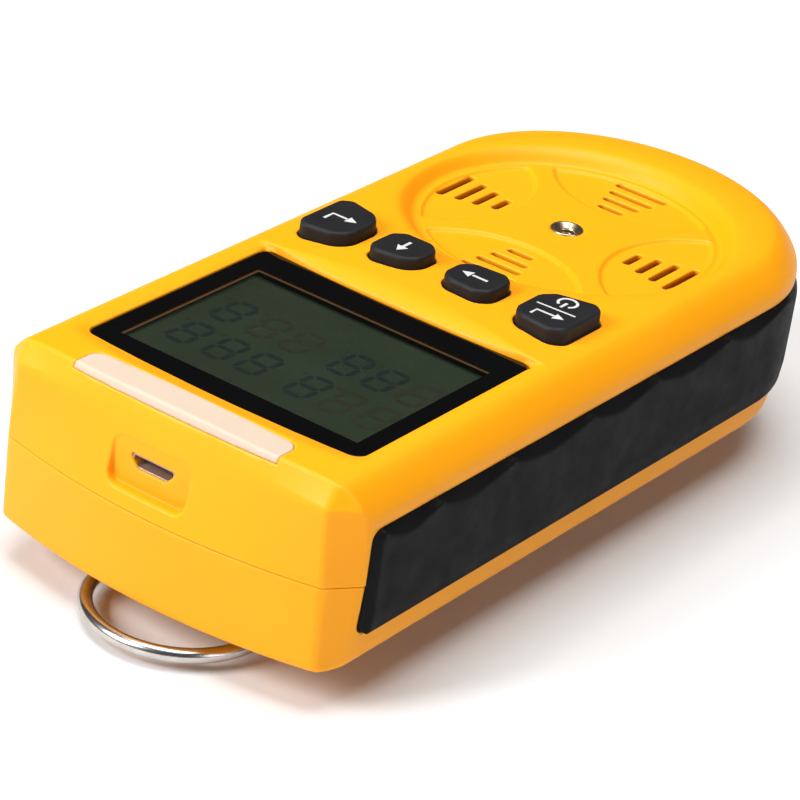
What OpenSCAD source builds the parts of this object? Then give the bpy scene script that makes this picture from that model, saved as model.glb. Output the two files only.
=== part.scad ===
// Portable four-gas detector lying on its belt clip, display up.
// +Z out of the display, +Y towards the charging-port end, +X to the reader's right.
// Millimetres. Origin: centre of the footprint on the resting plane (outer face of the clip lever).
// Modules work in the case frame (z = 0 on the case back); place() moves them to the origin above.

/* [Case] */
// Case width across the side walls
case_w = 66; // [64:0.5:68]
// Depth of the rounded sensor end, from where the straight sides stop
end_depth = 30.3; // [29:0.1:32]
// Height of the joint between the two case halves above the case back
parting_z = 14.6; // [14:0.1:15.2]
// Wall thickness of the back cover
wall = 2.2; // [2:0.1:2.4]
// Thickness of wall left outside the inner cavity at the sides
side_wall = 4; // [3.8:0.1:4.2]

/* [Grips] */
// Depth of the recess that holds each rubber grip
grip_depth = 2.2; // [2:0.1:2.4]
// Height of the finger waves
wave_h = 1.1; // [0.4:0.1:1.4]
// Lower edge of the grips above the case back
grip_z0 = 6.3; // [6:0.1:7]
// Upper edge of the grips above the case back
grip_z1 = 23.35; // [22.8:0.05:23.6]

/* [Display] */
// Half width of the lens window
lens_w = 25.2; // [24.6:0.1:25.4]
// Height of the lens face above the case back
lens_z = 29.6; // [29.4:0.1:29.8]
// Lens thickness
lens_t = 1.4; // [1.2:0.1:1.5]

/* [Keys] */
// Height of the key tops above the case back
key_z = 33; // [32:0.1:33.4]
// Key travel
key_travel = 0.8; // [0.5:0.1:0.8]
// Bevel round the key tops
key_bevel = 0.5; // [0.3:0.1:1]

/* [Sensor end] */
// Radius from the insert to the centre of each sensor
sensor_r = 17; // [16.8:0.1:17.2]
// Sensor can diameter
sensor_d = 20.3; // [19.8:0.1:20.4]
// Width of the vent slots
slot_w = 1.2; // [0.8:0.1:1.5]

/* [Clip and ring] */
// Clip sheet thickness
sheet = 1.2; // [1:0.1:1.2]
// Ring mean radius
ring_r = 13.95; // [12:0.05:14.5]
// Ring wire radius
wire_r = 1.15; // [0.9:0.05:1.25]

/* [View] */
// Which piece to draw

/* [Hidden] */

$fn = 48;
gap = 0.05;            // play between neighbouring parts
half_w = case_w / 2;
side_end_y = -42.1;    // where the straight sides stop
foot_y = 1.95;         // footprint centre, seen from the case centre
foot_z = 6.6;          // case back above the resting plane
ceiling_z = 28.8;      // underside of the front face

board_z = 19.9;        // top of the main board
board_t = 1.6;
board_under_z = board_z - board_t;
usb_x = 1.1;
usb_z = 21.1;

dish = [0, -31.3];     // centre of the sensor dish
dish_z = 28.4;         // dish floor
pad_z = 27.4;          // floor of the four vent pads
block_z = 25.4;        // underside of the sensor block
sensor_board_z = 4.5;
sensor_board_t = 1.6;
sensor_board_top = sensor_board_z + sensor_board_t;

pivot = [20, -4.0];    // clip pivot, y and z
eye = [47.3, -4.1];    // ring eye, y and z

yellow = [1, 0.72, 0.11];
black = [0.16, 0.16, 0.17];
steel = [0.72, 0.73, 0.75];
green = [0.05, 0.3, 0.16];

// Places seen from above, [x, y]
case_screw_places = [[-24.8, 57.5], [24.8, 57.5], [-20, -52], [20, -52]];
board_screw_places = [[-19.3, 12.2], [19.3, 12.2], [-19.3, 61], [19.3, 61]];
sensor_screw_places = [[-14.8, -16.5], [14.8, -16.5], [-14.8, -46.1], [14.8, -46.1]];
clip_screw_places = [[0, 4], [0, 38.5]];
sensor_places = [for (way = [[0, 1], [0, -1], [1, 0], [-1, 0]]) dish + sensor_r * way];

// ---- Shared helpers ----

module at_each(places, z = 0) for (spot = places) translate([spot[0], spot[1], z]) children();

// Rectangle centred on x, starting at y, grown outwards by r with round corners
module strip(r, width, y, length) offset(r) translate([-width / 2, y]) square([width, length]);

// Screw with a socket head hanging below z = 0 and a shank going up
module screw(head_r, head_h, shank_r, shank_h) {
  difference() {
    translate([0, 0, -head_h]) cylinder(h = head_h, r = head_r);
    translate([0, 0, -head_h - 1]) cylinder(h = 1 + head_h * 0.55, r = head_r * 0.5, $fn = 6);
  }
  cylinder(h = shank_h, r = shank_r);
}

// Faces joining a row of rings, each with the same number of points, and capping both ends.
// A side of -1 turns every face over.
function sweep_faces(rings, count, side) =
  let (
    sides = [for (i = [0:rings - 2]) for (j = [0:count - 1])
      let (a = i * count + j, b = i * count + (j + 1) % count)
      each [[a, b, b + count], [a, b + count, a + count]]],
    caps = [[for (j = [count - 1:-1:0]) j], [for (j = [0:count - 1]) (rings - 1) * count + j]])
  [for (face = concat(sides, caps))
    side > 0 ? face : [for (j = [len(face) - 1:-1:0]) face[j]]];

// ---- Case plan and body ----

// Straight sides, half-elliptic sensor end, chamfered corners and a bowed port end.
// half: half width, depth: of the sensor end, end: y of the port end,
// corner: x where the chamfer starts, slope: of the chamfer, bow: of the port end
function plan_points(half, depth, end, corner, slope, bow) =
  let (
    corner_x = min(half, corner),
    chamfer_y = half > corner ? end - (half - corner) * slope : end)
  concat(
    [for (i = [0:40]) let (t = 180 + 180 * i / 40) [half * cos(t), side_end_y + depth * sin(t)]],
    half > corner ? [[half, chamfer_y]] : [],
    bow > 0
      ? [for (i = [0:12]) let (x = corner_x - 2 * corner_x * i / 12)
          [x, end + bow * (1 - pow(x / corner, 2))]]
      : [[corner_x, end], [-corner_x, end]],
    half > corner ? [[-half, chamfer_y]] : []);

// Rows of all four tables: [height, inset, end line, corner x, chamfer slope, bow]
parting_row = [parting_z, 0, 68.62, 28.97, 1.32, 3.79];
front_rows = [
  parting_row,
  [19.5, 0, 68.62, 28.7, 1.16, 2.7],
  [24.3, 0, 68.6, 28.4, 1.0, 1.4],
  [25.3, 0.15, 68.6, 28.35, 0.97, 1.05],
  [26.9, 0.95, 68.6, 28.3, 0.93, 0.55],
  [27.5, 1.4, 68.44, 28.3, 0.93, 0.45],
  [28.6, 2.4, 68.13, 28.35, 0.93, 0],
  [29.4, 3.3, 67.91, 28.35, 0.93, 0],
  [29.95, 4.2, 67.76, 28.4, 0.93, 0],
  [30.25, 5.5, 67.68, 28.4, 0.93, 0],
  [30.5, 8, 67.6, 28.4, 0.93, 0],
  [30.8, 13, 67.53, 28.4, 0.93, 0],
  [31.05, 21, 67.46, 28.4, 0.93, 0],
  [31.2, 28, 67.42, 28.4, 0.93, 0]];
back_rows = [
  [0, 9, 70.2, 22, 1.3, 1.9],
  [0.5, 4.2, 69.0, 27.4, 1.4, 3.2],
  [1.5, 1.2, 68.2, 29.25, 1.8, 3.9],
  [6.2, 0.7, 68.4, 29.1, 1.5, 3.85],
  parting_row];
slab_t = 0.04;  // thickness of the slabs the case bodies are hulled from
front_cavity_rows = [
  [parting_z - 1, side_wall, 66.2, 27.0, 1.3, 3.2],
  [24.3, side_wall, 66.2, 26.6, 1.0, 0.5],
  [26.6, side_wall + 0.8, 66.2, 26.4, 0.95, 0],
  [28.0, side_wall + 2.4, 65.9, 26.4, 0.93, 0],
  [ceiling_z - slab_t, side_wall + 4.5, 65.6, 26.4, 0.93, 0]];
back_cavity_rows = [
  [wall, side_wall + 3, 65, 25, 1.4, 2.4],
  [wall + 2.5, side_wall, 66.0, 27.2, 1.5, 3.2],
  [parting_z + 1, side_wall, 66.2, 27.0, 1.3, 3.2]];

module slab(row, drop = 0)
  translate([0, 0, row[0] - drop]) linear_extrude(slab_t)
    polygon(plan_points(half_w - row[1], end_depth - row[1], row[2], row[3], row[4], row[5]));

// Every slab but the first hangs below its height, so the body ends at the last row
module case_body(rows)
  hull() for (row = rows) slab(row, row[0] > rows[0][0] ? slab_t : 0);

// ---- Rubber grips; side is -1 for left (-X), 1 for right (+X) ----

grip_end_y = 63.15;  // port end of the grip recess
wrap_end = 64.5;     // angle the grip wraps round the sensor end
valleys = [61.2, 48.0, 29.9, 9.5, -8.3, -29.1, -45.1];  // y of the dips between finger waves

// Outward normal and point of the sensor end at angle t, the point moved out by outset
function end_normal(side, t) =
  let (normal = [side * cos(t) / half_w, -sin(t) / end_depth]) normal / norm(normal);
function end_point(side, t, outset = 0) =
  [side * half_w * cos(t), side_end_y - end_depth * sin(t)] + outset * end_normal(side, t);

// Wave height at y, 0 in a valley to 1 on a crest
function wave(y) =
  y < valleys[6] ? min(1, (valleys[6] - y) / 6)
  : y > valleys[0] ? 0.75
  : let (
      j = [for (i = [0:5]) if (y <= valleys[i] && y >= valleys[i + 1]) i][0],
      u = (valleys[j] - y) / (valleys[j] - valleys[j + 1]))
    pow(sin(180 * u), 0.7);

// Stations along the grip: [point, outward normal, y used for the wave, end taper]
function grip_path(side) = concat(
  [for (stop = [[62.7, 0.8], [62, 0.3], [61, 0], [60, 0]])
    [[side * half_w, stop[0]], [side, 0], stop[0], stop[1]]],
  [for (i = [1:50]) let (y = 60 - (60 - side_end_y) * i / 50)
    [[side * half_w, y], [side, 0], y, 0]],
  [for (i = [1:16]) let (t = wrap_end * i / 16)
    [end_point(side, t), end_normal(side, t), side_end_y - 30 * t / wrap_end,
      i == 16 ? 0.6 : i == 15 ? 0.15 : 0]]);

// Grip section: [outward, height]
function grip_section(y, taper) =
  let (swell = wave(y), low = grip_z0 + taper * 1.6, high = grip_z1 - taper * 1.6)
  [[-grip_depth, low],
    [-0.05 - taper * 0.5, low],
    [0.12 + 0.2 * wave_h * swell - taper * 0.5, 8.2 + taper],
    [0.2 + 0.55 * wave_h * swell - taper * 0.5, 14.5],
    [0.15 + wave_h * swell - taper * 0.6, 20.9 + 1.9 * (1 - swell) - taper * 0.6],
    [-0.55 - taper * 0.3, high],
    [-grip_depth, high]];

module grip(side) {
  path = grip_path(side);
  points = [for (stop = path) for (edge = grip_section(stop[2], stop[3]))
    let (flat = stop[0] + edge[0] * stop[1]) [flat[0], flat[1], edge[1]]];
  polyhedron(points, sweep_faces(len(path), 7, side), convexity = 6);
}
module left_grip() color(black) grip(-1);
module right_grip() color(black) grip(1);

// Band along one side of the case, ending a hair past the grip
module grip_band(side) intersection() {
  inset = grip_depth + gap;
  outset = 3;
  cut_angle = wrap_end + 0.15;
  difference() {
    polygon(plan_points(half_w + outset, end_depth + outset, 80, 40, 1, 0));
    polygon(plan_points(half_w - inset, end_depth - inset, 90, 40, 1, 0));
  }
  polygon([end_point(side, cut_angle, -4), end_point(side, cut_angle, 4),
    [side * 50, -90], [side * 50, grip_end_y], [side * 20, grip_end_y]]);
}
module grip_recess(side) intersection() {
  grip_h = grip_z1 - grip_z0 + 2 * gap;
  corner_r = 1.8;
  far_y = -100;  // beyond the sensor end
  translate([0, 0, grip_z0 - gap]) linear_extrude(grip_h) grip_band(side);
  translate([side * 30, 0, 0]) rotate([90, 0, 90]) linear_extrude(80, center = true)
    offset(corner_r) translate([far_y + corner_r, grip_z0 - gap + corner_r])
      square([grip_end_y - far_y - 2 * corner_r, grip_h - 2 * corner_r]);
}

// ---- Lens, keys, light bar ----

// Lens outline grown by extra, both y edges bowed towards the port end
function lens_points(extra) =
  let (half = lens_w + extra)
  concat(
    [for (i = [0:12]) let (x = -half + 2 * half * i / 12)
      [x, 14.7 - extra + 0.9 * (1 - pow(x / lens_w, 2))]],
    [for (i = [0:12]) let (x = half - 2 * half * i / 12)
      [x, 57.4 + extra + 1.1 * (1 - pow(x / lens_w, 2))]]);
module lens_outline(extra) offset(1.8) offset(-1.8) polygon(lens_points(extra));
module lens_window() color([0.05, 0.05, 0.06])
  translate([0, 0, lens_z - lens_t]) linear_extrude(lens_t) lens_outline(0);

// Corners of the keys from left to right: power, move, up, enter
key_corners = [
  [[-25.3, -4.9], [-15.2, -2.3], [-15.2, 7.8], [-25.3, 8.9]],
  [[-10.5, -1.9], [-1.0, -1.1], [-1.0, 6.8], [-10.5, 7.0]],
  [[3.4, -1.5], [12.4, -1.5], [12.4, 8.0], [3.4, 6.3]],
  [[15.8, -2.5], [24.9, -4.7], [24.9, 9.6], [15.8, 7.8]]];
switch_places = [for (x = [-20.5, -6.8, 6.8, 20.5]) [x, 2.5]];
key_base_z = 26.6;
key_stem_z = 26.2;
key_skin = 0.02;  // slabs the bevel is hulled from

function cut_corners(corners, cut) = [for (i = [0:3]) for (j = [3, 1])
  let (edge = corners[(i + j) % 4] - corners[i]) corners[i] + cut * edge / norm(edge)];
module key_outline(i, extra)
  offset(0.6 + extra) offset(-0.6) polygon(cut_corners(key_corners[i], 1.9));

module key(i) color(black) {
  bevel_z = key_z - key_bevel;
  translate([0, 0, key_base_z]) linear_extrude(bevel_z - key_base_z) key_outline(i, 0);
  hull() {
    translate([0, 0, bevel_z - key_skin]) linear_extrude(key_skin) key_outline(i, 0);
    translate([0, 0, key_z - key_skin]) linear_extrude(key_skin) key_outline(i, -key_bevel);
  }
  // flange and stem
  translate([0, 0, key_base_z]) linear_extrude(1.25) key_outline(i, 1);
  at_each([switch_places[i]], key_stem_z) cylinder(h = 1.2, r = 1.5);
}
module key_power() key(0);
module key_move() key(1);
module key_up() key(2);
module key_enter() key(3);

module key_switches() at_each(switch_places, board_z) {
  body_h = 3.5;
  color([0.12, 0.12, 0.13]) translate([-3, -3, 0]) cube([6, 6, body_h]);
  color([0.8, 0.8, 0.78]) translate([0, 0, body_h])
    cylinder(h = key_stem_z - key_travel - gap - board_z - body_h, r = 1.7);
}

// The light bar wraps from the top face over the ridge of the port end
module bar_block(z, height, extra = 0)
  translate([0, 0, z]) linear_extrude(height) strip(2, 33.2 + 2 * extra, 64.7 - extra, 8);
module light_bar(extra) {
  intersection() {
    case_body(front_rows);
    bar_block(29.86 - extra, 5, extra);
  }
  translate([-15 - extra, 63.6 - extra, 27.6 - extra])
    cube([30 + 2 * extra, 2.8 + 2 * extra, 2.4 + extra]);
}
module alarm_light_bar() color([0.99, 0.91, 0.83]) light_bar(0);

// ---- Front shell ----

// Rounded bar along y, centred on the charging port
module port_bar(y, z, length, r, size)
  translate([usb_x, y, z]) rotate([-90, 0, 0]) linear_extrude(length)
    offset(r) square(size, center = true);

// Cavity less the solids that stay standing in it
module front_hollow() difference() {
  hull() for (row = front_cavity_rows) slab(row);
  // sensor block under the dish
  at_each([dish], block_z) cylinder(h = 5, r = 27, $fn = 96);
  // ledge under the lens
  translate([-27, 12.6, 26.4]) cube([54, 47.6, 5]);
  // bosses for the case screws, the board and the insert
  at_each(case_screw_places, parting_z - 1) cylinder(h = 20, r = 3.5);
  at_each(board_screw_places, board_z) cylinder(h = 12, r = 2.3);
  at_each([dish], 21) cylinder(h = 8, r = 4.3);
}

// Dish cut: [radius, height]
dish_profile = [[0, dish_z], [23.7, dish_z], [24.2, dish_z - 0.15], [24.8, dish_z - 0.1],
  [25.3, dish_z + 0.2], [25.9, 29.3], [26.6, 30.0], [27.4, 30.45], [28.6, 30.9],
  [28.6, 34], [0, 34]];
module dish_cut() at_each([dish]) rotate_extrude($fn = 96) polygon(dish_profile);

// Slots of one vent, outermost first: [distance from the insert, length]
vent_slots = [[22.06, 9.9], [18.93, 8.3], [15.96, 6.9], [12.88, 4.75]];
module vent_cuts() for (a = [0, 90, 180, 270]) {
  // pad between the dish rim and an arc facing the insert
  at_each([dish], pad_z) rotate([0, 0, a]) linear_extrude(3) intersection() {
    circle(r = 23.4, $fn = 96);
    translate([27.9, 0]) circle(r = 17.7, $fn = 96);
  }
  at_each([dish], 20) rotate([0, 0, a]) for (slot = vent_slots)
    translate([slot[0], 0, 0]) linear_extrude(12)
      offset(slot_w / 2) square([0.02, slot[1] - slot_w], center = true);
}

// Crescent slope from the key plateau down to the lens
module crescent_cut() hull() {
  translate([0, 0, 31.6]) linear_extrude(0.1) polygon(concat(
    [for (i = [0:12]) let (x = -24 + 4 * i) [x, 10.0 + 4.4 * pow(x / 24, 2)]],
    [[24, 16.4], [-24, 16.4]]));
  translate([0, 0, lens_z - 0.1]) linear_extrude(0.1)
    polygon([[-22, 14.9], [-10, 15.0], [10, 15.0], [22, 14.9], [22, 16.4], [-22, 16.4]]);
}

module front_shell() color(yellow) difference() {
  case_body(front_rows);
  front_hollow();
  dish_cut();
  vent_cuts();
  // insert hole
  at_each([dish], 22.4) cylinder(h = 8, r = 2.66);
  // lens pocket and display opening
  translate([0, 0, lens_z - lens_t]) linear_extrude(6) lens_outline(0.1);
  translate([-23.4, 18.9, 22]) cube([46.8, 37.1, 8]);
  crescent_cut();
  for (i = [0:3]) translate([0, 0, 25]) linear_extrude(10) key_outline(i, 0.2);
  light_bar(0.02);
  bar_block(31, 4);
  // charging port recess and opening
  port_bar(69.95, 20.85, length = 6, r = 1.6, size = [11.0, 4.3]);
  port_bar(60, usb_z + 0.1, length = 12, r = 0.8, size = [6.4, 1.6]);
  for (side = [-1, 1]) grip_recess(side);
  at_each(case_screw_places, parting_z - 2) cylinder(h = 9.5, r = 1.27);
  at_each(board_screw_places, board_z - 1) cylinder(h = 6.5, r = 0.97);
}

// ---- Back shell, seal and case screws ----

// Cavity less the screw bosses
module back_hollow() difference() {
  hull() for (row = back_cavity_rows) slab(row);
  at_each(case_screw_places, -1) cylinder(h = 20, r = 3.5);
  at_each(sensor_screw_places, 1) cylinder(h = sensor_board_z - 1, r = 2.4);
  at_each(clip_screw_places, 1) cylinder(h = 3.4, r = 2.6);
}

// Seal groove in plan, narrowed on both sides by play
module seal_ring(play) difference() {
  polygon(plan_points(30.35 - play, 27.65 - play, 67.75 - play, 28.2 - play, 1.32, 3.5));
  polygon(plan_points(29.45 + play, 26.75 + play, 66.85 + play, 27.4 + play, 1.3, 3.3));
}

module back_shell() color(yellow) difference() {
  case_body(back_rows);
  back_hollow();
  translate([0, 0, parting_z - 0.8]) linear_extrude(2) seal_ring(0);
  for (side = [-1, 1]) grip_recess(side);
  // through holes and head recesses
  at_each(case_screw_places, -1) {
    cylinder(h = 20, r = 1.65);
    cylinder(h = 4, r = 3.0);
  }
  at_each(sensor_screw_places, 1.4) cylinder(h = 5, r = 0.82);
  at_each(clip_screw_places, -1) cylinder(h = 5, r = 1.27);
}
module case_seal() color([0.1, 0.1, 0.1])
  translate([0, 0, parting_z - 0.78]) linear_extrude(0.76) seal_ring(gap);
module case_screws() color(steel) at_each(case_screw_places, 3)
  screw(head_r = 2.8, head_h = 1.9, shank_r = 1.25, shank_h = 18);

// ---- Main board and what sits on it ----

module main_board() color(green) translate([0, 0, board_under_z]) difference() {
  linear_extrude(board_t) union() {
    translate([-21.1, -2]) square([42.2, 68.2]);
    translate([12, -11.4]) square([9.1, 10]);
  }
  at_each(board_screw_places, -1) cylinder(h = 5, r = 1.1);
}
module board_screws() color(steel) at_each(board_screw_places, board_under_z)
  screw(head_r = 1.8, head_h = 1, shank_r = 0.95, shank_h = 6.5);

// Display: the backlight lies in the frame, the glass on the backlight
lcd_corner = [-22.9, 19.2];
lcd_size = [45.8, 36.5];
lcd_floor_z = 23.3;  // frame floor
backlight_t = 2.7;
glass_z = lcd_floor_z + gap + backlight_t + gap;
glass_t = 0.95;      // each of the two glass layers

module lcd_glass() color([0.24, 0.28, 0.21]) {
  step = 1.8;  // upper layer stops short at the key side
  translate([lcd_corner[0], lcd_corner[1], glass_z]) cube([lcd_size[0], lcd_size[1], glass_t]);
  translate([lcd_corner[0], lcd_corner[1] + step, glass_z + glass_t])
    cube([lcd_size[0], lcd_size[1] - step, glass_t]);
}
module lcd_backlight() color([0.9, 0.92, 0.9])
  translate([lcd_corner[0], lcd_corner[1], lcd_floor_z + gap])
    cube([lcd_size[0], lcd_size[1], backlight_t]);
module lcd_frame() color([0.15, 0.15, 0.16]) {
  difference() {
    translate([-24.3, 17.8, 22.3]) cube([48.6, 39.4, 3.9]);
    translate([lcd_corner[0] - 0.1, lcd_corner[1] - 0.1, lcd_floor_z])
      cube([lcd_size[0] + 0.2, lcd_size[1] + 0.2, 4]);
    translate([-20.5, 21.5, 22]) cube([41, 32, 4]);
    // room for the two case screw bosses at the port end
    at_each([case_screw_places[0], case_screw_places[1]], 20) cylinder(h = 8, r = 3.65);
  }
  // legs down to the board
  for (x = [-19.5, 19.5], y = [20, 55])
    translate([x, y, board_z]) cylinder(h = 22.35 - board_z, r = 1.5);
}

module alarm_leds() for (x = [-12.5, -6.5, 9, 13.2]) translate([x, 65, board_z]) {
  color([0.95, 0.95, 0.92]) translate([-1.75, -1.4, 0]) cube([3.5, 2.8, 1.4]);
  color([0.9, 0.3, 0.2]) translate([0, 0, 1.4]) cylinder(h = 0.5, r = 1.1);
}
module usb_socket() color(steel) {
  difference() {
    port_bar(63.6, usb_z, length = 5.5, r = 0.5, size = [6.6, 1.4]);
    port_bar(64.4, usb_z, length = 6, r = 0.3, size = [6.2, 1.2]);
  }
  // tongue
  color([0.12, 0.12, 0.12])
    translate([usb_x - 2.1, 64.3, usb_z - 0.35]) cube([4.2, 4.2, 0.7]);
}

buzzer_h = 5.5;
module buzzer() color([0.1, 0.1, 0.11])
  translate([10.5, 57.5, board_under_z - buzzer_h]) difference() {
    cylinder(h = buzzer_h, r = 6);
    translate([0, 0, -1]) cylinder(h = 2.5, r = 1.2);
  }

// Turns +z to lie along +x on the motor axis
module on_motor_axis() translate([0, 55.2, 15.2]) rotate([0, 90, 0]) children();
module vibration_motor() on_motor_axis() {
  // can
  color(steel) difference() {
    translate([0, 0, -21]) cylinder(h = 11, r = 3);
    translate([0, 0, -16]) cylinder(h = 8, r = 0.56);
  }
  // cradle above the can
  color(steel) difference() {
    translate([-3.1, -3.6, -19.5]) cube([3, 7.2, 8]);
    translate([0, 0, -23]) cylinder(h = 14, r = 2.9);
  }
}
// Shaft and the part-round weight on it
module motor_weight() color([0.55, 0.5, 0.42]) on_motor_axis() {
  translate([0, 0, -15.5]) cylinder(h = 10.4, r = 0.5);
  translate([0, 0, -9.4]) intersection() {
    difference() {
      cylinder(h = 4, r = 2.8);
      translate([0, 0, -1]) cylinder(h = 6, r = 0.45);
    }
    translate([-0.9, -5, -1]) cube([6, 10, 6]);
  }
}

// ---- Battery ----

battery_y = 25.5;   // centre, also half the length
battery_z = 9.8;
tray_size = [40.6, 54, 7.5];
tray_y = -1.5;
tray_wall = 1.3;
plug_z = 15.9;      // underside of the plug on the leads

module battery_pack() color([0.2, 0.35, 0.6])
  translate([0, battery_y, battery_z]) rotate([90, 0, 0])
    linear_extrude(2 * battery_y, center = true) offset(2) square([33.6, 6], center = true);

module battery_tray() color([0.2, 0.2, 0.21]) difference() {
  translate([-tray_size[0] / 2, tray_y, wall + gap]) cube(tray_size);
  // hollows above and below the floor: [z, height]
  for (hollow = [[4.8, 10], [0, 4.42]])
    translate([tray_wall - tray_size[0] / 2, tray_y + tray_wall, hollow[0]])
      cube([tray_size[0] - 2 * tray_wall, tray_size[1] - 2 * tray_wall, hollow[1]]);
  // notch in the port-end wall
  translate([-7, 50, 6]) cube([14, 5, 10]);
}

// Wire from the battery end up to the plug, with a round joint at the bend
module lead(x) {
  bends = [[x, 2 * battery_y + gap, battery_z], [x, 54.2, battery_z], [x, 54.2, plug_z]];
  for (i = [0:len(bends) - 2]) {
    run = bends[i + 1] - bends[i];
    translate(bends[i]) rotate([0, acos(run[2] / norm(run)), atan2(run[1], run[0])])
      cylinder(h = norm(run), r = 0.7, $fn = 16);
    if (i > 0) translate(bends[i]) sphere(r = 0.7, $fn = 16);
  }
}
module battery_leads() {
  color([0.7, 0.1, 0.08]) lead(-3);
  color([0.08, 0.08, 0.08]) lead(0);
  color([0.9, 0.9, 0.86])
    translate([-5, 52.4, plug_z]) cube([7, 3.6, board_under_z - gap - plug_z]);
}

// ---- Sensor board, sensors, gasket, insert ----

socket_h = 1.55;
can_z = sensor_board_top + socket_h + gap;
can_h = 15.4;
neck_h = 1.15;      // narrower step on top of the can
can_recess_z = 23.6;
filter_t = 0.4;

// Joins the sensor board to the main board
module board_header() color([0.1, 0.1, 0.1])
  translate([13, -10.8, sensor_board_top + gap])
    cube([8, 2.5, board_under_z - sensor_board_top - 2 * gap]);
module sensor_board() color(green) translate([0, 0, sensor_board_z]) difference() {
  linear_extrude(sensor_board_t) union() {
    translate(dish) circle(r = 24.8, $fn = 96);
    translate([12, -20]) square([10, 12.4]);
  }
  at_each(sensor_screw_places, -1) cylinder(h = 5, r = 0.95);
}
module sensor_board_screws() color(steel) at_each(sensor_screw_places, sensor_board_top)
  rotate([180, 0, 0]) screw(head_r = 1.6, head_h = 1, shank_r = 0.8, shank_h = 4.4);
module sensor_sockets() color([0.75, 0.62, 0.3]) at_each(sensor_places, sensor_board_top)
  for (a = [30, 150, 270])
    translate([6.5 * cos(a), 6.5 * sin(a), 0]) cylinder(h = socket_h, r = 1.1, $fn = 24);

module sensor_can(i, can_color, disc_color) at_each([sensor_places[i]]) {
  color(can_color) difference() {
    union() {
      translate([0, 0, can_z]) cylinder(h = can_h, r = sensor_d / 2);
      translate([0, 0, can_z + can_h]) cylinder(h = neck_h, r = sensor_d / 2 - 1.2);
    }
    translate([0, 0, can_recess_z]) cylinder(h = 2, r = 5);
  }
  color(disc_color) translate([0, 0, can_recess_z]) cylinder(h = 0.4, r = 4.9);
}
module oxygen_sensor() sensor_can(0, [0.85, 0.85, 0.87], [0.95, 0.95, 0.95]);
module carbon_monoxide_sensor() sensor_can(1, [0.75, 0.2, 0.15], [0.95, 0.95, 0.95]);
module hydrogen_sulfide_sensor() sensor_can(2, [0.2, 0.35, 0.65], [0.95, 0.95, 0.95]);
module combustible_sensor() sensor_can(3, [0.7, 0.71, 0.73], [0.6, 0.55, 0.45]);

module sensor_gasket() color([0.14, 0.14, 0.15])
  translate([0, 0, can_z + can_h + neck_h + gap]) linear_extrude(1.08) difference() {
    translate(dish) circle(r = 25, $fn = 96);
    translate(dish) circle(r = 4.5);
    at_each(sensor_places) circle(r = 7.7);
  }
module dust_filters() color([0.93, 0.93, 0.9])
  at_each(sensor_places, block_z - gap - filter_t) cylinder(h = filter_t, r = 7.65);

// Insert section: [radius, height]
insert_profile = [[1.25, 0], [2.65, 0], [2.65, 2.4], [2.35, 2.6], [2.35, 3.4], [2.65, 3.6],
  [2.65, 6.05], [2.15, 6.05], [1.25, 5.15]];
module threaded_insert() color([0.8, 0.65, 0.35])
  at_each([dish], 22.5) rotate_extrude() polygon(insert_profile);

// ---- Clip and ring ----

lug_t = 1.2;
lever_w = 12.2;

// Upright lug at x, from a foot [length, height] at z to a round end on hub [y, z]
module lug(x, z, foot, hub, r)
  translate([x - lug_t / 2, 0, 0]) rotate([90, 0, 90]) linear_extrude(lug_t) hull() {
    translate([hub[0] - foot[0] / 2, z]) square(foot);
    translate(hub) circle(r = r);
  }
// Hole along x through hub [y, z]
module cross_hole(hub, r, length)
  translate([-length / 2, hub[0], hub[1]]) rotate([0, 90, 0]) cylinder(h = length, r = r);

module clip_base() color(steel) difference() {
  union() {
    translate([0, 0, -sheet]) linear_extrude(sheet) {
      strip(2, 15.2, -19.5, 60.5);
      strip(1.5, 6, 38, 11.5);
    }
    for (side = [-1, 1]) lug(side * 9, -sheet, foot = [7, 0.5], hub = pivot, r = 2.2);
    lug(0, -sheet, foot = [7, 0.5], hub = eye, r = 2.4);
  }
  cross_hole(pivot, r = 1.02, length = 40);
  cross_hole(eye, r = 1.45, length = 10);
  at_each(clip_screw_places, -3) cylinder(h = 5, r = 1.4);
}
module clip_lever() color(steel) difference() {
  union() {
    translate([0, 0, -foot_z]) linear_extrude(sheet) strip(2, lever_w, -19, 51);
    // lip turned up at the sensor end
    translate([-lever_w / 2, -21, -foot_z]) cube([lever_w, 1.2, foot_z - 1.22]);
    for (side = [-1, 1]) lug(side * 7.5, -foot_z, foot = [6.6, 0.6], hub = pivot, r = 2.2);
  }
  cross_hole(pivot, r = 1.06, length = 40);
  // window under the spring
  translate([0, 0, -8]) linear_extrude(3.4) strip(1, 6.8, 17.2, 7.6);
}
module clip_pin() color(steel) translate([0, pivot[0], pivot[1]]) rotate([0, 90, 0]) {
  cylinder(h = 20.4, r = 1, center = true);
  for (side = [-1, 1]) translate([0, 0, side * 10.0]) cylinder(h = 0.7, r = 1.7, center = true);
}
module clip_screws() color(steel) at_each(clip_screw_places, -sheet)
  screw(head_r = 2.2, head_h = 0.9, shank_r = 1.25, shank_h = 4.8);

// Torsion spring: a leg on the base, the coil round the pin, a leg on the lever
coil_r = 1.85;
coil_half = 3.2;    // half the coil length along x
coil_turns = 5.5;
coil_steps = 100;
spring_wire_r = 0.38;
lever_leg_z = sheet - foot_z + 0.4;
spring_path = concat(
  [[-coil_half, 29.0, -1.68], [-coil_half, 25.0, -1.75]],
  [for (i = [0:coil_steps])
    let (t = 90 - 360 * coil_turns * i / coil_steps)
    [-coil_half + 2 * coil_half * i / coil_steps,
      pivot[0] + coil_r * cos(t), pivot[1] + coil_r * sin(t)]],
  [[coil_half, 25.6, lever_leg_z], [coil_half, 29.0, lever_leg_z]]);

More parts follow.
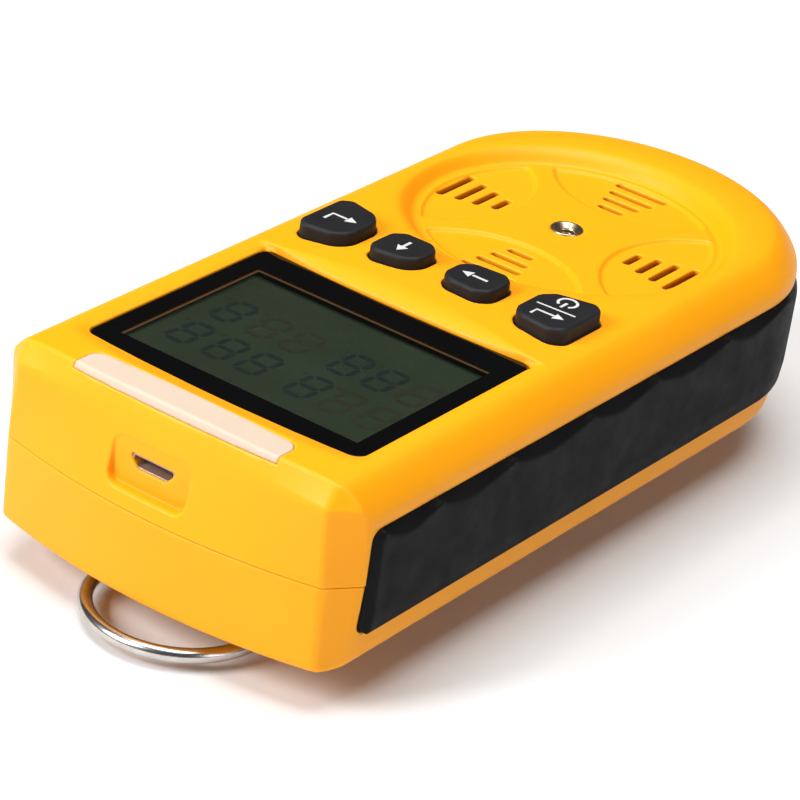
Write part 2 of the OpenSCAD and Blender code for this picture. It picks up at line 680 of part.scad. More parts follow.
// Eight-sided tube swept along a path of points
module tube(path, r) {
  sides = 8;
  last = len(path) - 1;
  points = [for (i = [0:last])
    let (
      chord = path[min(last, i + 1)] - path[max(0, i - 1)],
      along = chord / norm(chord),
      across = cross(along, [1, 0.13, 0.05]),
      u = across / norm(across),
      v = cross(along, u))
    for (j = [0:sides - 1])
      let (t = 360 * j / sides) path[i] + r * (cos(t) * u + sin(t) * v)];
  polyhedron(points, sweep_faces(last + 1, sides, -1), convexity = 8);
}
module clip_spring() color(steel) tube(spring_path, spring_wire_r);

module hanging_ring() color(steel) translate([0, eye[0] + ring_r, eye[1]])
  rotate_extrude($fn = 96) translate([ring_r, 0]) circle(r = wire_r, $fn = 32);

// ---- Assembly ----

module place() translate([0, -foot_y, foot_z]) children();

place() front_shell();
place() back_shell();
place() case_seal();
place() case_screws();
place() left_grip();
place() right_grip();
place() lens_window();
place() alarm_light_bar();
place() key_power();
place() key_move();
place() key_up();
place() key_enter();
place() key_switches();
place() main_board();
place() board_screws();
place() lcd_glass();
place() lcd_backlight();
place() lcd_frame();
place() alarm_leds();
place() usb_socket();
place() buzzer();
place() vibration_motor();
place() motor_weight();
place() battery_pack();
place() battery_tray();
place() battery_leads();
place() board_header();
place() sensor_board();
place() sensor_board_screws();
place() sensor_sockets();
place() oxygen_sensor();
place() carbon_monoxide_sensor();
place() hydrogen_sulfide_sensor();
place() combustible_sensor();
place() sensor_gasket();
place() dust_filters();
place() threaded_insert();
place() clip_base();
place() clip_lever();
place() clip_pin();
place() clip_spring();
place() clip_screws();
place() hanging_ring();
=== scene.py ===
# Looks of a hand-held gas detector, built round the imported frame.
# Lengths are millimetres in the case's own axes: x across, y along (port end positive,
# rounded sensor end negative), z up from the case back to the key and display side.
import math
from functools import reduce
from itertools import product
import bpy
import numpy as np
from mathutils import Matrix, Vector


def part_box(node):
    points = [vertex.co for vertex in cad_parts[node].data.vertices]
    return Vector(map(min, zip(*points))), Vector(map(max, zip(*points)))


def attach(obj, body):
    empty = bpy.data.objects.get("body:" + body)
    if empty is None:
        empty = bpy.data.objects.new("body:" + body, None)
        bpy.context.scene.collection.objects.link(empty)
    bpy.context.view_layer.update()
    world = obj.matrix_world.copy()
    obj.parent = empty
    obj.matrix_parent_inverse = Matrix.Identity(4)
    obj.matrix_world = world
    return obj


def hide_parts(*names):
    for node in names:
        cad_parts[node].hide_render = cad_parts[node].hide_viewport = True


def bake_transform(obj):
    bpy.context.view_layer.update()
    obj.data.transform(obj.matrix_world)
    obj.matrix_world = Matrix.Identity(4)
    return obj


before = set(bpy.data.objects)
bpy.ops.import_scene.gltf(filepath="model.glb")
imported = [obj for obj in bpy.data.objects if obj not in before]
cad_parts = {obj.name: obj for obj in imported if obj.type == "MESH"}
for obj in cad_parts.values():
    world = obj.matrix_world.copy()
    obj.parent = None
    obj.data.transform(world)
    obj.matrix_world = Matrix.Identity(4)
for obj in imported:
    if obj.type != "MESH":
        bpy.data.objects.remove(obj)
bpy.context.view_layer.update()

CASE_TOP = 31.2          # highest point of the front cover
RING_LOW_Y = 47.3        # centre of the ring's wire where it is nearest the sensor end
RING_R = 13.95           # to the middle of the wire
RING_WIRE_R = 1.15

# Case axes to frame: the front shell's top gives the z offset, the ring's far end the y offset.
OFF_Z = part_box("front_shell")[1].z * 1000 - CASE_TOP
OFF_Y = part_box("hanging_ring")[1].y * 1000 - (RING_LOW_Y + 2 * RING_R + RING_WIRE_R)


def place(points):
    """Case millimetres to frame metres."""
    moved = np.array(points, float)
    moved[..., 1] += OFF_Y
    moved[..., 2] += OFF_Z
    return moved / 1000.0


# ---------------------------------------------------------------- distance-field helpers
# A field is negative inside. Cutting order matters: rounded joins depend on what came before.
def clamp01(a):
    return np.clip(a, 0.0, 1.0)


def smoothstep(start, stop, v):
    t = clamp01((v - start) / (stop - start))
    return t * t * (3 - 2 * t)


def union(fields):
    return reduce(np.minimum, fields)


def r_and(a, b, r):
    """Intersection with a fillet of radius r."""
    u = np.maximum(a + r, 0.0)
    v = np.maximum(b + r, 0.0)
    return np.minimum(np.maximum(a, b), -r) + np.sqrt(u * u + v * v)


def r_cut(a, b, r):
    """a without b, the new edge rounded by r."""
    return r_and(a, -b, r)


def r_or(a, b, r):
    """Union with a fillet of radius r."""
    u = np.maximum(r - a, 0.0)
    v = np.maximum(r - b, 0.0)
    return np.maximum(np.minimum(a, b), r) - np.sqrt(u * u + v * v)


def box2(x, y, half_x, half_y, r):
    qx = np.abs(x) - half_x + r
    qy = np.abs(y) - half_y + r
    outside = np.sqrt(np.maximum(qx, 0) ** 2 + np.maximum(qy, 0) ** 2)
    return outside + np.minimum(np.maximum(qx, qy), 0) - r


def box3(x, y, z, lo, hi, r=0.0):
    centre = [(lo[i] + hi[i]) / 2 for i in range(3)]
    half = [(hi[i] - lo[i]) / 2 - r for i in range(3)]
    q = [np.abs(v - centre[i]) - half[i] for i, v in enumerate((x, y, z))]
    outside = np.sqrt(sum(np.maximum(a, 0) ** 2 for a in q))
    return outside + np.minimum(np.maximum(np.maximum(q[0], q[1]), q[2]), 0) - r


def cyl_z(x, y, z, cx, cy, r, z0, z1):
    return np.maximum(np.hypot(x - cx, y - cy) - r, np.maximum(z0 - z, z - z1))


def cylinders(x, y, z, centres, r, z0, z1):
    return union(cyl_z(x, y, z, cx, cy, r, z0, z1) for cx, cy in centres)


def polygon(x, y, pts, r, grow):
    """Convex outline (anticlockwise) with rounded corners, grown outwards."""
    d = None
    for i in range(len(pts)):
        a, b = np.array(pts[i], float), np.array(pts[(i + 1) % len(pts)], float)
        t = (b - a) / np.linalg.norm(b - a)
        edge = (x - a[0]) * t[1] - (y - a[1]) * t[0] - grow
        d = edge if d is None else r_and(d, edge, r)
    return d


def catmull(pts, steps=8):
    """Smooth curve through 2-D points (centripetal Catmull-Rom)."""
    def blend(a, b, start, stop, t):
        return (stop - t) / (stop - start) * a + (t - start) / (stop - start) * b

    p = np.array(pts, float)
    p = np.vstack([2 * p[0] - p[1], p, 2 * p[-1] - p[-2]])
    out = []
    for p0, p1, p2, p3 in zip(p, p[1:], p[2:], p[3:]):
        gaps = [max(np.linalg.norm(b - a), 1e-9) ** 0.5 for a, b in ((p0, p1), (p1, p2), (p2, p3))]
        t0 = 0.0
        t1 = gaps[0]
        t2 = t1 + gaps[1]
        t3 = t2 + gaps[2]
        for k in range(steps):
            t = t1 + (t2 - t1) * k / steps
            a1 = blend(p0, p1, t0, t1, t)
            a2 = blend(p1, p2, t1, t2, t)
            a3 = blend(p2, p3, t2, t3, t)
            b1 = blend(a1, a2, t0, t2, t)
            b2 = blend(a2, a3, t1, t3, t)
            out.append(blend(b1, b2, t1, t2, t))
    out.append(p[-2])
    return np.array(out)


class Profile:
    """Signed distance to a closed 2-D outline, kept on a grid and read by interpolation."""

    def __init__(self, pts, lo, hi, step):
        pts = np.array(pts, float)
        self.lo, self.step = np.array(lo, float), step
        self.size = [int(math.ceil((hi[i] - lo[i]) / step)) + 1 for i in (0, 1)]
        grid_x = lo[0] + step * np.arange(self.size[0])
        grid_y = lo[1] + step * np.arange(self.size[1])
        X, Y = np.meshgrid(grid_x, grid_y, indexing="ij")
        nearest = np.full(X.shape, 1e9)
        inside = np.zeros(X.shape, bool)
        for a, b in zip(pts, np.roll(pts, -1, 0)):
            d = b - a
            length2 = d @ d
            if length2 < 1e-12:
                continue
            t = clamp01(((X - a[0]) * d[0] + (Y - a[1]) * d[1]) / length2)
            dist2 = (X - a[0] - t * d[0]) ** 2 + (Y - a[1] - t * d[1]) ** 2
            np.minimum(nearest, dist2, out=nearest)
            if a[1] != b[1]:
                spans = (a[1] > Y) != (b[1] > Y)
                cross_x = a[0] + (Y - a[1]) * d[0] / d[1]
                inside ^= spans & (X < cross_x)
        self.values = np.sqrt(nearest) * np.where(inside, -1, 1)

    def __call__(self, x, y):
        u = (x - self.lo[0]) / self.step
        v = (y - self.lo[1]) / self.step
        u = np.clip(u, 0, self.size[0] - 1.001)
        v = np.clip(v, 0, self.size[1] - 1.001)
        i = u.astype(np.int32)
        j = v.astype(np.int32)
        u = u - i
        v = v - j
        g = self.values
        low = g[i, j] * (1 - u) + g[i + 1, j] * u
        high = g[i, j + 1] * (1 - u) + g[i + 1, j + 1] * u
        return low * (1 - v) + high * v


# ---------------------------------------------------------------- distance field -> mesh
def gradient(field, p, e=0.02):
    g = np.empty_like(p)
    for k in range(3):
        d = np.zeros(3)
        d[k] = e
        g[:, k] = (field(*(p + d).T) - field(*(p - d).T)) / (2 * e)
    return g


def unit(vectors):
    return vectors / np.maximum(np.linalg.norm(vectors, axis=1), 1e-9)[:, None]


def corner_slices(n):
    """The eight views of a grid that pick out each corner of every cell."""
    return [tuple(slice(o, n[k] - 1 + o) for k, o in enumerate(off))
            for off in product((0, 1), repeat=3)]


def neighbours(grid, axis):
    """Both ends of every grid edge along an axis."""
    first, second = [slice(None)] * 3, [slice(None)] * 3
    first[axis] = slice(0, -1)
    second[axis] = slice(1, None)
    return grid[tuple(first)], grid[tuple(second)]


def sample_grid(field, lo, hi, h, block=4, chunk=400000):
    """Field values on a grid of step h. Blocks far from the surface hold only a sign."""
    wide = h * block
    blocks = np.ceil((hi - lo) / wide).astype(int)
    n = blocks * block + 1
    mids = [lo[k] + wide * (np.arange(blocks[k]) + 0.5) for k in range(3)]
    X, Y, Z = np.meshgrid(*mids, indexing="ij")
    coarse = field(X.ravel(), Y.ravel(), Z.ravel()).reshape(X.shape)

    def spread(a):
        return np.repeat(np.repeat(np.repeat(a, block, 0), block, 1), block, 2)

    corners = corner_slices(n)
    grid = np.ones(n, np.float32)
    grid[corners[0]] = spread(np.where(coarse < 0, -1.0, 1.0).astype(np.float32))
    near = spread(np.abs(coarse) < wide * 1.45 + 0.1)
    mask = np.zeros(n, bool)
    for corner_view in corners:
        mask[corner_view] |= near
    index = np.flatnonzero(mask.ravel())
    i, j, k = np.unravel_index(index, n)
    flat = grid.ravel()
    for s in range(0, len(index), chunk):
        part = slice(s, s + chunk)
        flat[index[part]] = field(lo[0] + h * i[part], lo[1] + h * j[part], lo[2] + h * k[part])
    return flat.reshape(n)


def crossings(field, start, along, v0, v1):
    """Where the field is zero on each grid edge, by a guarded false-position search."""
    def secant(fallback):
        slope = np.where(v1 == v0, 1, v1 - v0)
        return np.where(np.abs(v1 - v0) > 1e-12, t0 - v0 * (t1 - t0) / slope, fallback)

    t0, t1 = np.zeros(len(start)), np.ones(len(start))
    for _ in range(4):
        t = clamp01(secant(0.5))
        t = np.clip(t, t0 + 0.05 * (t1 - t0), t1 - 0.05 * (t1 - t0))
        X = start + t[:, None] * along
        v = field(X[:, 0], X[:, 1], X[:, 2])
        same = (v < 0) == (v0 < 0)
        t0 = np.where(same, t, t0)
        v0 = np.where(same, v, v0)
        t1 = np.where(same, t1, t)
        v1 = np.where(same, v1, v)
    return start + np.clip(secant((t0 + t1) / 2), 0, 1)[:, None] * along


def cell_vertices(field, grid, inside, number, cells, lo, h):
    """One vertex a cell: the point nearest the planes at all of its edge crossings."""
    pairs = ((0, 0), (1, 1), (2, 2), (0, 1), (0, 2), (1, 2))
    count = len(cells)
    products = np.zeros((6, count))
    offsets = np.zeros((3, count))
    mean = np.zeros((3, count))
    hits = np.zeros(count)
    for axis in range(3):
        step = np.eye(3, dtype=int)[axis]
        first, second = neighbours(inside, axis)
        q = np.argwhere(first != second)
        v0 = grid[tuple(q.T)].astype(float)
        v1 = grid[tuple((q + step).T)].astype(float)
        X = crossings(field, lo + h * q, np.array(step, float) * h, v0, v1)
        N = unit(gradient(field, X, 0.01))
        c = (N * X).sum(1)
        u, w = (axis + 1) % 3, (axis + 2) % 3
        for du, dw in product((0, -1), repeat=2):
            r = q.copy()
            r[:, u] += du
            r[:, w] += dw
            ok = (r >= 0).all(1) & (r < np.array(number.shape)).all(1)
            at = number[tuple(r[ok].T)]
            Nk, Xk, ck = N[ok], X[ok], c[ok]
            for k, (i1, i2) in enumerate(pairs):
                products[k] += np.bincount(at, Nk[:, i1] * Nk[:, i2], count)
            for k in range(3):
                offsets[k] += np.bincount(at, Nk[:, k] * ck, count)
                mean[k] += np.bincount(at, Xk[:, k], count)
            hits += np.bincount(at, minlength=count)
    mean = (mean / hits).T
    T = np.empty((count, 3, 3))
    for k, (i1, i2) in enumerate(pairs):
        T[:, i1, i2] = products[k]
        T[:, i2, i1] = products[k]
    rest = offsets.T - np.einsum("nij,nj->ni", T, mean)
    T[:, [0, 1, 2], [0, 1, 2]] += 0.03      # pull towards the mean keeps flat areas solvable
    P = mean + np.linalg.solve(T, rest[:, :, None])[:, :, 0]
    corner_at = lo + h * cells
    return np.clip(P, corner_at - 0.15 * h, corner_at + 1.15 * h)


def cell_quads(inside, number):
    """A quad round every grid edge that crosses the surface."""
    def at(q):
        return number[tuple(q.T)]

    quads = []
    for axis in range(3):
        first, second = neighbours(inside, axis)
        u, v = (axis + 1) % 3, (axis + 2) % 3
        inner = [slice(None)] * 3
        inner[u] = inner[v] = slice(1, -1)
        inner = tuple(inner)
        crossed = (first != second)[inner]
        du, dv = np.eye(3, dtype=int)[[u, v]]
        p = np.argwhere(crossed) + du + dv
        quad = np.stack([at(p - du - dv), at(p - dv), at(p), at(p - du)], 1)
        flip = ~first[inner][crossed]
        quad[flip] = quad[flip][:, ::-1]
        quads.append(quad)
    quads = np.vstack(quads)
    return quads[(quads >= 0).all(1)]


def surface(field, lo, hi, h):
    """Vertices and quads on the zero level of a field."""
    lo = np.array(lo, float)
    grid = sample_grid(field, lo, np.array(hi, float), h)
    inside = grid < 0
    shape = np.array(grid.shape) - 1
    count = np.zeros(shape, np.int8)
    for corner_view in corner_slices(grid.shape):
        count += inside[corner_view]
    mixed = (count > 0) & (count < 8)
    cells = np.argwhere(mixed)
    number = np.full(mixed.shape, -1, np.int64)
    number[mixed] = np.arange(len(cells))
    P = cell_vertices(field, grid, inside, number, cells, lo, h)
    return P, cell_quads(inside, number)


def quad_mesh(name, P, Q):
    me = bpy.data.meshes.new(name)
    me.vertices.add(len(P))
    me.vertices.foreach_set("co", P.astype(np.float32).ravel())
    me.loops.add(Q.size)
    me.loops.foreach_set("vertex_index", Q.astype(np.int32).ravel())
    me.polygons.add(len(Q))
    me.polygons.foreach_set("loop_start", (np.arange(len(Q)) * 4).astype(np.int32))
    me.polygons.foreach_set("loop_total", np.full(len(Q), 4, np.int32))
    me.update(calc_edges=True)
    return me


def add_object(name, me):
    ob = bpy.data.objects.new(name, me)
    bpy.context.scene.collection.objects.link(ob)
    return ob


def thin(ob, keep):
    """Collapse flat areas until the share keep of the faces is left."""
    name, old = ob.name, ob.data
    mod = ob.modifiers.new("thin", "DECIMATE")
    mod.ratio = keep
    dg = bpy.context.evaluated_depsgraph_get()
    new = bpy.data.meshes.new_from_object(ob.evaluated_get(dg), depsgraph=dg)
    ob.modifiers.clear()
    ob.data = new
    bpy.data.meshes.remove(old)
    new.name = name
    return new


def outward_turn(field, P, reach=0.4):
    """How sharply the surface turns outwards at each point."""
    total = -6 * field(P[:, 0], P[:, 1], P[:, 2])
    for k in range(3):
        for s in (-reach, reach):
            q = P.copy()
            q[:, k] += s
            total += field(q[:, 0], q[:, 1], q[:, 2])
    return np.clip(total / reach, -2, 2)


def point_values(me, name, values):
    at = me.attributes.new(name, "FLOAT", "POINT")
    at.data.foreach_set("value", values.astype(np.float32))


def field_object(name, field, lo, hi, cell, mat, keep, painted_shade_of=None):
    """Mesh object from a field, with an edge attribute for wear and, where asked, an attribute of painted shade for
    its depths.
    """
    ob = add_object(name, quad_mesh(name, *surface(field, lo, hi, cell)))
    me = thin(ob, keep)
    co = np.empty(len(me.vertices) * 3)
    me.vertices.foreach_get("co", co)
    P = co.reshape(-1, 3)
    for _ in range(2):      # back onto the true surface
        val = field(P[:, 0], P[:, 1], P[:, 2])
        g = gradient(field, P)
        gg = np.maximum((g * g).sum(1), 0.2)
        P = P + np.clip(-(val / gg)[:, None] * g, -0.08, 0.08)
    normals = unit(gradient(field, P, 0.05))
    point_values(me, "edge", outward_turn(field, P))
    # painted shade for the depths, as an attribute
    if painted_shade_of is not None:
        point_values(me, "painted_shade", painted_shade_of(P[:, 0], P[:, 1], P[:, 2]))
    me.materials.append(MATS[mat])
    me.vertices.foreach_set("co", place(P).astype(np.float32).ravel())
    me.polygons.foreach_set("use_smooth", np.ones(len(me.polygons), bool))
    me.update()
    me.validate()
    me.normals_split_custom_set_from_vertices(normals.tolist())
    return ob


def stand_in(ob, body, node):
    """The object moves with a body and takes a CAD node's place."""
    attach(ob, body)
    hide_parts(node)


# ---------------------------------------------------------------- case shape
HALF_WIDTH = 33.0
END_LENGTH = 30.3                    # how far the rounded end reaches beyond END_Y
END_Y = -42.1                        # straight sides stop here
PARTING_Z = 14.6
PARTING_GAP = 0.03                   # each cover stops this far from the parting line
SIDE_WALL = 4.0                      # cavity inset from the plan outline
SKIN = 2.4                           # wall left over the front and the chamfered corners
DISH_X, DISH_Y = 0.0, -31.3          # round dish over the sensors
USB_X, USB_Z = 1.1, 21.1
BAR_Y = 72.75                        # middle of the alarm light's outline
BAR_R = 2.0
GRIP_DEPTH = 2.2                     # how far a grip is let into the case
GRIP_Z0, GRIP_Z1 = 6.3, 23.35
GRIP_FRONT_Y = 62.98
GRIP_WRAP = math.radians(64.5)       # how far a grip follows the rounded end

CASE_SCREWS = [(-24.8, 57.5), (24.8, 57.5), (-20, -52), (20, -52)]
BOARD_SCREWS = [(-19.3, 12.2), (19.3, 12.2), (-19.3, 61), (19.3, 61)]
FOUR_POSTS = [(-14.8, -16.5), (14.8, -16.5), (-14.8, -46.1), (14.8, -46.1)]
MIDLINE_POSTS = [(0, 4), (0, 38.5)]
CASE_POST_R = 3.5
POST_TOP = 40                        # beyond the case: such a post runs right through


def plan(x, y):
    """Distance outside the side walls and the rounded sensor end."""
    px = np.abs(x)
    py = np.minimum(y - END_Y, 0.0)
    a, b = HALF_WIDTH, END_LENGTH
    q = np.sqrt((px / a) ** 2 + (py / b) ** 2)
    g = np.sqrt((px / a ** 2) ** 2 + (py / b ** 2) ** 2)
    return (q - 1) * np.maximum(q, 1e-3) / np.maximum(g, 1e-4 / a)


# Edge sections of the two covers: inset from the plan outline, z
FRONT_PTS = catmull([
    (0.0, 22.6), (0.0, 24.1), (0.17, 25.3), (0.75, 26.5), (1.5, 27.55), (2.42, 28.58),
    (3.3, 29.33), (4.3, 29.9), (5.6, 30.22), (8, 30.5), (13, 30.8), (21, 31.05),
    (28, 31.17), (33, 31.2)])
FRONT_PROFILE = Profile(np.vstack([[(0, 5.0)], FRONT_PTS, [(60, CASE_TOP), (60, 5.0)]]),
                        lo=(-6, 4), hi=(40, 40), step=0.1)
BACK_PTS = catmull([
    (0.0, 14.6), (0.32, 10.5), (0.7, 6.2), (0.85, 3.4), (1.25, 1.75), (2.3, 0.75),
    (4.2, 0.36), (9, 0.12), (18, 0.03), (33, 0.0)])
BACK_PROFILE = Profile(np.vstack([[(0, 26.0)], BACK_PTS, [(60, 0.0), (60, 26.0)]]),
                       lo=(-6, -6), hi=(40, 22), step=0.1)

# Chamfered corners beside the port end, one list each for: z, y and |x| of a point
# on the chamfer, and its slope (fall in y over rise in |x|)
FRONT_CORNER = (
    [14.6, 19.5, 24.3, 25.3, 26.9, 27.5, 28.6, 29.4, 31.2],
    [68.62, 68.62, 68.6, 68.6, 68.55, 68.15, 67.4, 66.85, 65.62],
    [28.97, 28.7, 28.4, 28.35, 28.3, 28.3, 28.35, 28.35, 28.4],
    [1.32, 1.16, 1.0, 0.97, 0.93, 0.93, 0.93, 0.93, 0.93])
BACK_CORNER = (
    [0, 1.5, 6.2, 14.6],
    [68.15, 68.2, 68.4, 68.62],
    [29.3, 29.25, 29.1, 28.97],
    [1.85, 1.8, 1.5, 1.32])
# Port-end face: z, bow at the middle; then z, y at the sides
FACE_BOW = ([0, 6.2, 14.6, 19.5, 24.3, 26.9, 40], [3.9, 3.87, 3.79, 2.62, 1.5, 0.9, -2.2])
FACE_Y = ([0, 1.5, 6.2, 14.6, 40], [68.15, 68.2, 68.4, 68.61, 68.6])


def port_face(x, y, z):
    """Port-end face, bowed outwards across x."""
    u = 1 - (x / 28.7) ** 2
    bow = np.interp(z, *FACE_BOW)
    return (y - np.interp(z, *FACE_Y) - bow * u) * np.where(z > PARTING_Z, 0.975, 1.0)


def port_facet(x, y, z):
    """Facet above the port-end face, leaning towards the sensor end as it rises."""
    u = 1 - (x / 28.7) ** 2
    k = 0.36 + 0.29 * np.minimum((x / 27.7) ** 4, 1.2)
    return (y - 68.6 - 0.95 * np.maximum(u, -1.0) + (z - 26.9) * k) / np.sqrt(1 + k * k)


def corner(x, y, z, stations):
    zs, ys, xs, slopes = stations
    s = np.interp(z, zs, slopes)
    out = y - np.interp(z, zs, ys) + (np.abs(x) - np.interp(z, zs, xs)) * s
    return out / np.sqrt(1 + s * s)


def front_body(x, y, z):
    d = FRONT_PROFILE(-plan(x, y), z)
    d = r_and(d, r_and(port_face(x, y, z), port_facet(x, y, z), 0.25), 0.35)
    d = r_and(d, corner(x, y, z, FRONT_CORNER), 0.35)
    return r_and(d, PARTING_Z + PARTING_GAP - z, 0.22)


def back_body(x, y, z):
    d = BACK_PROFILE(-plan(x, y), z)
    roll = (0.45 - z) * 0.9      # lower edge of the port end rolls under
    d = r_and(d, r_and(port_face(x, y, z), roll, 1.0), 0.5)
    d = r_and(d, corner(x, y, z, BACK_CORNER), 0.6)
    return r_and(d, z - PARTING_Z + PARTING_GAP, 0.22)


def cut_corners(pts, cut=1.9):
    """Outline with every corner cut off at this distance from its point."""
    out = []
    for i in range(len(pts)):
        p = np.array(pts[i], float)
        for q in (np.array(pts[i - 1], float), np.array(pts[(i + 1) % len(pts)], float)):
            out.append(tuple(p + cut * (q - p) / np.linalg.norm(q - p)))
    return out


# Keys: x of the stem below, outline before its corners are cut
KEYS = {
    "key_power": (-20.5, [(-25.3, -4.9), (-15.2, -2.3), (-15.2, 7.8), (-25.3, 8.9)]),
    "key_move": (-6.8, [(-10.5, -1.9), (-1.0, -1.1), (-1.0, 6.8), (-10.5, 7.0)]),
    "key_up": (6.8, [(3.4, -1.5), (12.4, -1.5), (12.4, 8.0), (3.4, 6.3)]),
    "key_enter": (20.5, [(15.8, -2.5), (24.9, -4.7), (24.9, 9.6), (15.8, 7.8)]),
}
KEYS = {name: (stem_x, cut_corners(pts)) for name, (stem_x, pts) in KEYS.items()}
KEY_STEM_Y = 2.5
KEY_TOP = 33.0

LENS_HALF = 25.2
LENS_CORNER_R = 1.8
LENS_BOTTOM, LENS_TOP = 28.22, 29.6


def lens_ends(x):
    """y of the lens's two bowed ends."""
    u = 1 - (x / LENS_HALF) ** 2
    return 14.7 + 0.9 * u, 57.4 + 1.1 * u


def lens_plan(x, y, grow):
    low, high = lens_ends(x)
    d = r_and(np.abs(x) - LENS_HALF - grow, low - grow - y, LENS_CORNER_R)
    return r_and(d, y - (high + grow), LENS_CORNER_R)


# Vent slots in each quarter of the dish: distance from the centre, length
SLOTS = [(22.06, 9.9), (18.93, 8.3), (15.96, 6.9), (12.88, 4.75)]
# Dish section: radius, z
DISH_PTS = catmull([
    (0, 28.4), (22.0, 28.4), (23.5, 28.38), (24.1, 28.2), (24.6, 28.12), (25.1, 28.3),
    (25.6, 28.85), (26.1, 29.45), (26.8, 30.05), (27.7, 30.45), (28.9, 30.72),
    (30.5, 30.95), (33.0, 31.6)])
DISH = Profile(np.vstack([DISH_PTS, [(33.0, 40), (-2, 40), (-2, 28.4)]]),
               lo=(0, 20), hi=(36, 38), step=0.08)


def quarters(x, y):
    """Coordinates about the dish centre, outwards and sideways, for its four quarters."""
    px, py = x - DISH_X, y - DISH_Y
    return [(px * c + py * s, -px * s + py * c) for c, s in ((1, 0), (-1, 0), (0, 1), (0, -1))]


def dish_cut(x, y, z):
    r = np.hypot(x - DISH_X, y - DISH_Y)
    pads = []
    for u, v in quarters(x, y):
        arc_edge = np.hypot(u - 27.9, v) - 17.7
        pad = r_and(r - 23.3, arc_edge, 0.5)
        pads.append(r_and(pad, 27.9 - z, 0.3))
    return r_or(DISH(r, z), union(pads), 0.6)


def slot_cut(x, y):
    return union(np.hypot(u - out, np.maximum(np.abs(v) - (length - 1.3) / 2, 0)) - 0.66
                 for u, v in quarters(x, y) for out, length in SLOTS)


def grip_region(x, y, z, depth, slack, z0, z1, front, side):
    """Band along one side (side is the sign of x), from the port end round the rounded end.

    Returns the inner limit and the limits of height and length.
    """
    cos, sin = math.cos(GRIP_WRAP), math.sin(GRIP_WRAP)
    end_x, end_y = HALF_WIDTH * cos, END_Y - END_LENGTH * sin
    n = np.array([cos / HALF_WIDTH, -sin / END_LENGTH])
    n /= np.linalg.norm(n)
    tx, ty = n[1], -n[0]      # runs on round the end, towards the middle of the case
    xs = x * side
    wrap = (xs - end_x) * tx + (y - end_y) * ty - slack
    inner = np.maximum(-plan(x, y) - depth, -xs + 5)
    band = r_and(z0 - z, z - z1, 0.05)
    band = r_and(band, y - front, 1.8)
    return inner, r_and(band, np.where(y < -40, wrap, -20), 0.6)


def apron_cut(x, y, z):
    """The case falls gently to the edge of the lens."""
    ring = lens_plan(x, y, 0.1)
    apron = (29.72 + 0.33 * np.maximum(ring, 0.0) - z) * 0.95
    apron = r_and(apron, ring - 5.6, 0.05)
    return r_and(apron, 17.2 - 2.7 * smoothstep(19.0, 24.0, np.abs(x)) - y, 0.05)


def slope_cut(x, y, z):
    """Slope from the key plateau down to the lens, longest at the middle."""
    length = np.maximum(5.0 - 4.6 * (x / 24.0) ** 2, 0.4)
    s = 1.75 / length
    foot = 29.75 + 0.55 * np.maximum(1 - (x / 25.0) ** 2, 0)
    slope = (foot + (15.0 - y) * s - z) / np.sqrt(1 + s * s)
    slope = r_and(slope, y - 16.2, 0.05)
    slope = r_and(slope, np.abs(x) - 25.4, 0.3)
    return np.maximum(slope, (29.3 - z))


def top_cuts(x, y, z, d):
    """Everything cut into the front cover from above."""
    d = r_cut(d, dish_cut(x, y, z), 0.45)
    d = r_cut(d, np.maximum(slot_cut(x, y), 24 - z), 0.22)
    d = r_cut(d, apron_cut(x, y, z), 0.4)
    lens_pocket = np.maximum(lens_plan(x, y, 0.14), 28.18 - z)
    d = r_cut(d, lens_pocket, 0.16)
    display_opening = box3(x, y, z, (-23.4, 18.9, 20), (23.4, 56.0, 30), 0.3)
    d = np.maximum(d, -display_opening)
    d = r_cut(d, slope_cut(x, y, z), 0.55)
    for _, pts in KEYS.values():
        d = r_cut(d, np.maximum(polygon(x, y, pts, 0.7, 0.22), 24 - z), 0.24)
    light_pocket = np.maximum(box2(x, y - BAR_Y, 18.62, 10.07, BAR_R), 29.8 - z)
    d = r_cut(d, light_pocket, 0.14)
    light_opening = box3(x, y, z, (-15.05, 63.55, 27.5), (15.05, 66.45, 33), 0.2)
    return np.maximum(d, -light_opening)


def port_cut(x, y, z, d):
    """Recess round the charging port, then the socket's own hole."""
    recess = box2(x - USB_X + 0.04, z - 20.85, 7.1, 3.75, 1.8)
    d = r_cut(d, r_and(recess, 69.95 - y, 0.25), 0.45)
    u, w = np.abs(x - USB_X), z - 21.35
    hole = r_and(u - 3.95, w - 1.12, 0.35)
    hole = r_and(hole, -w - 1.12, 0.3)
    hole = r_and(hole, (u - 3.35 - (w + 0.2) * 0.85) * 0.76, 0.3)
    hole = np.maximum(hole, 60 - y)
    return r_cut(d, hole, 0.3)


def grips_cut(x, y, z, d):
    for side in (-1, 1):
        inner, band = grip_region(x, y, z, GRIP_DEPTH + 0.05, 0.1, GRIP_Z0 - 0.06,
                                  GRIP_Z1 + 0.06, 63.18, side)
        d = r_cut(d, r_and(inner, band, 0.2), 0.22)
    return d


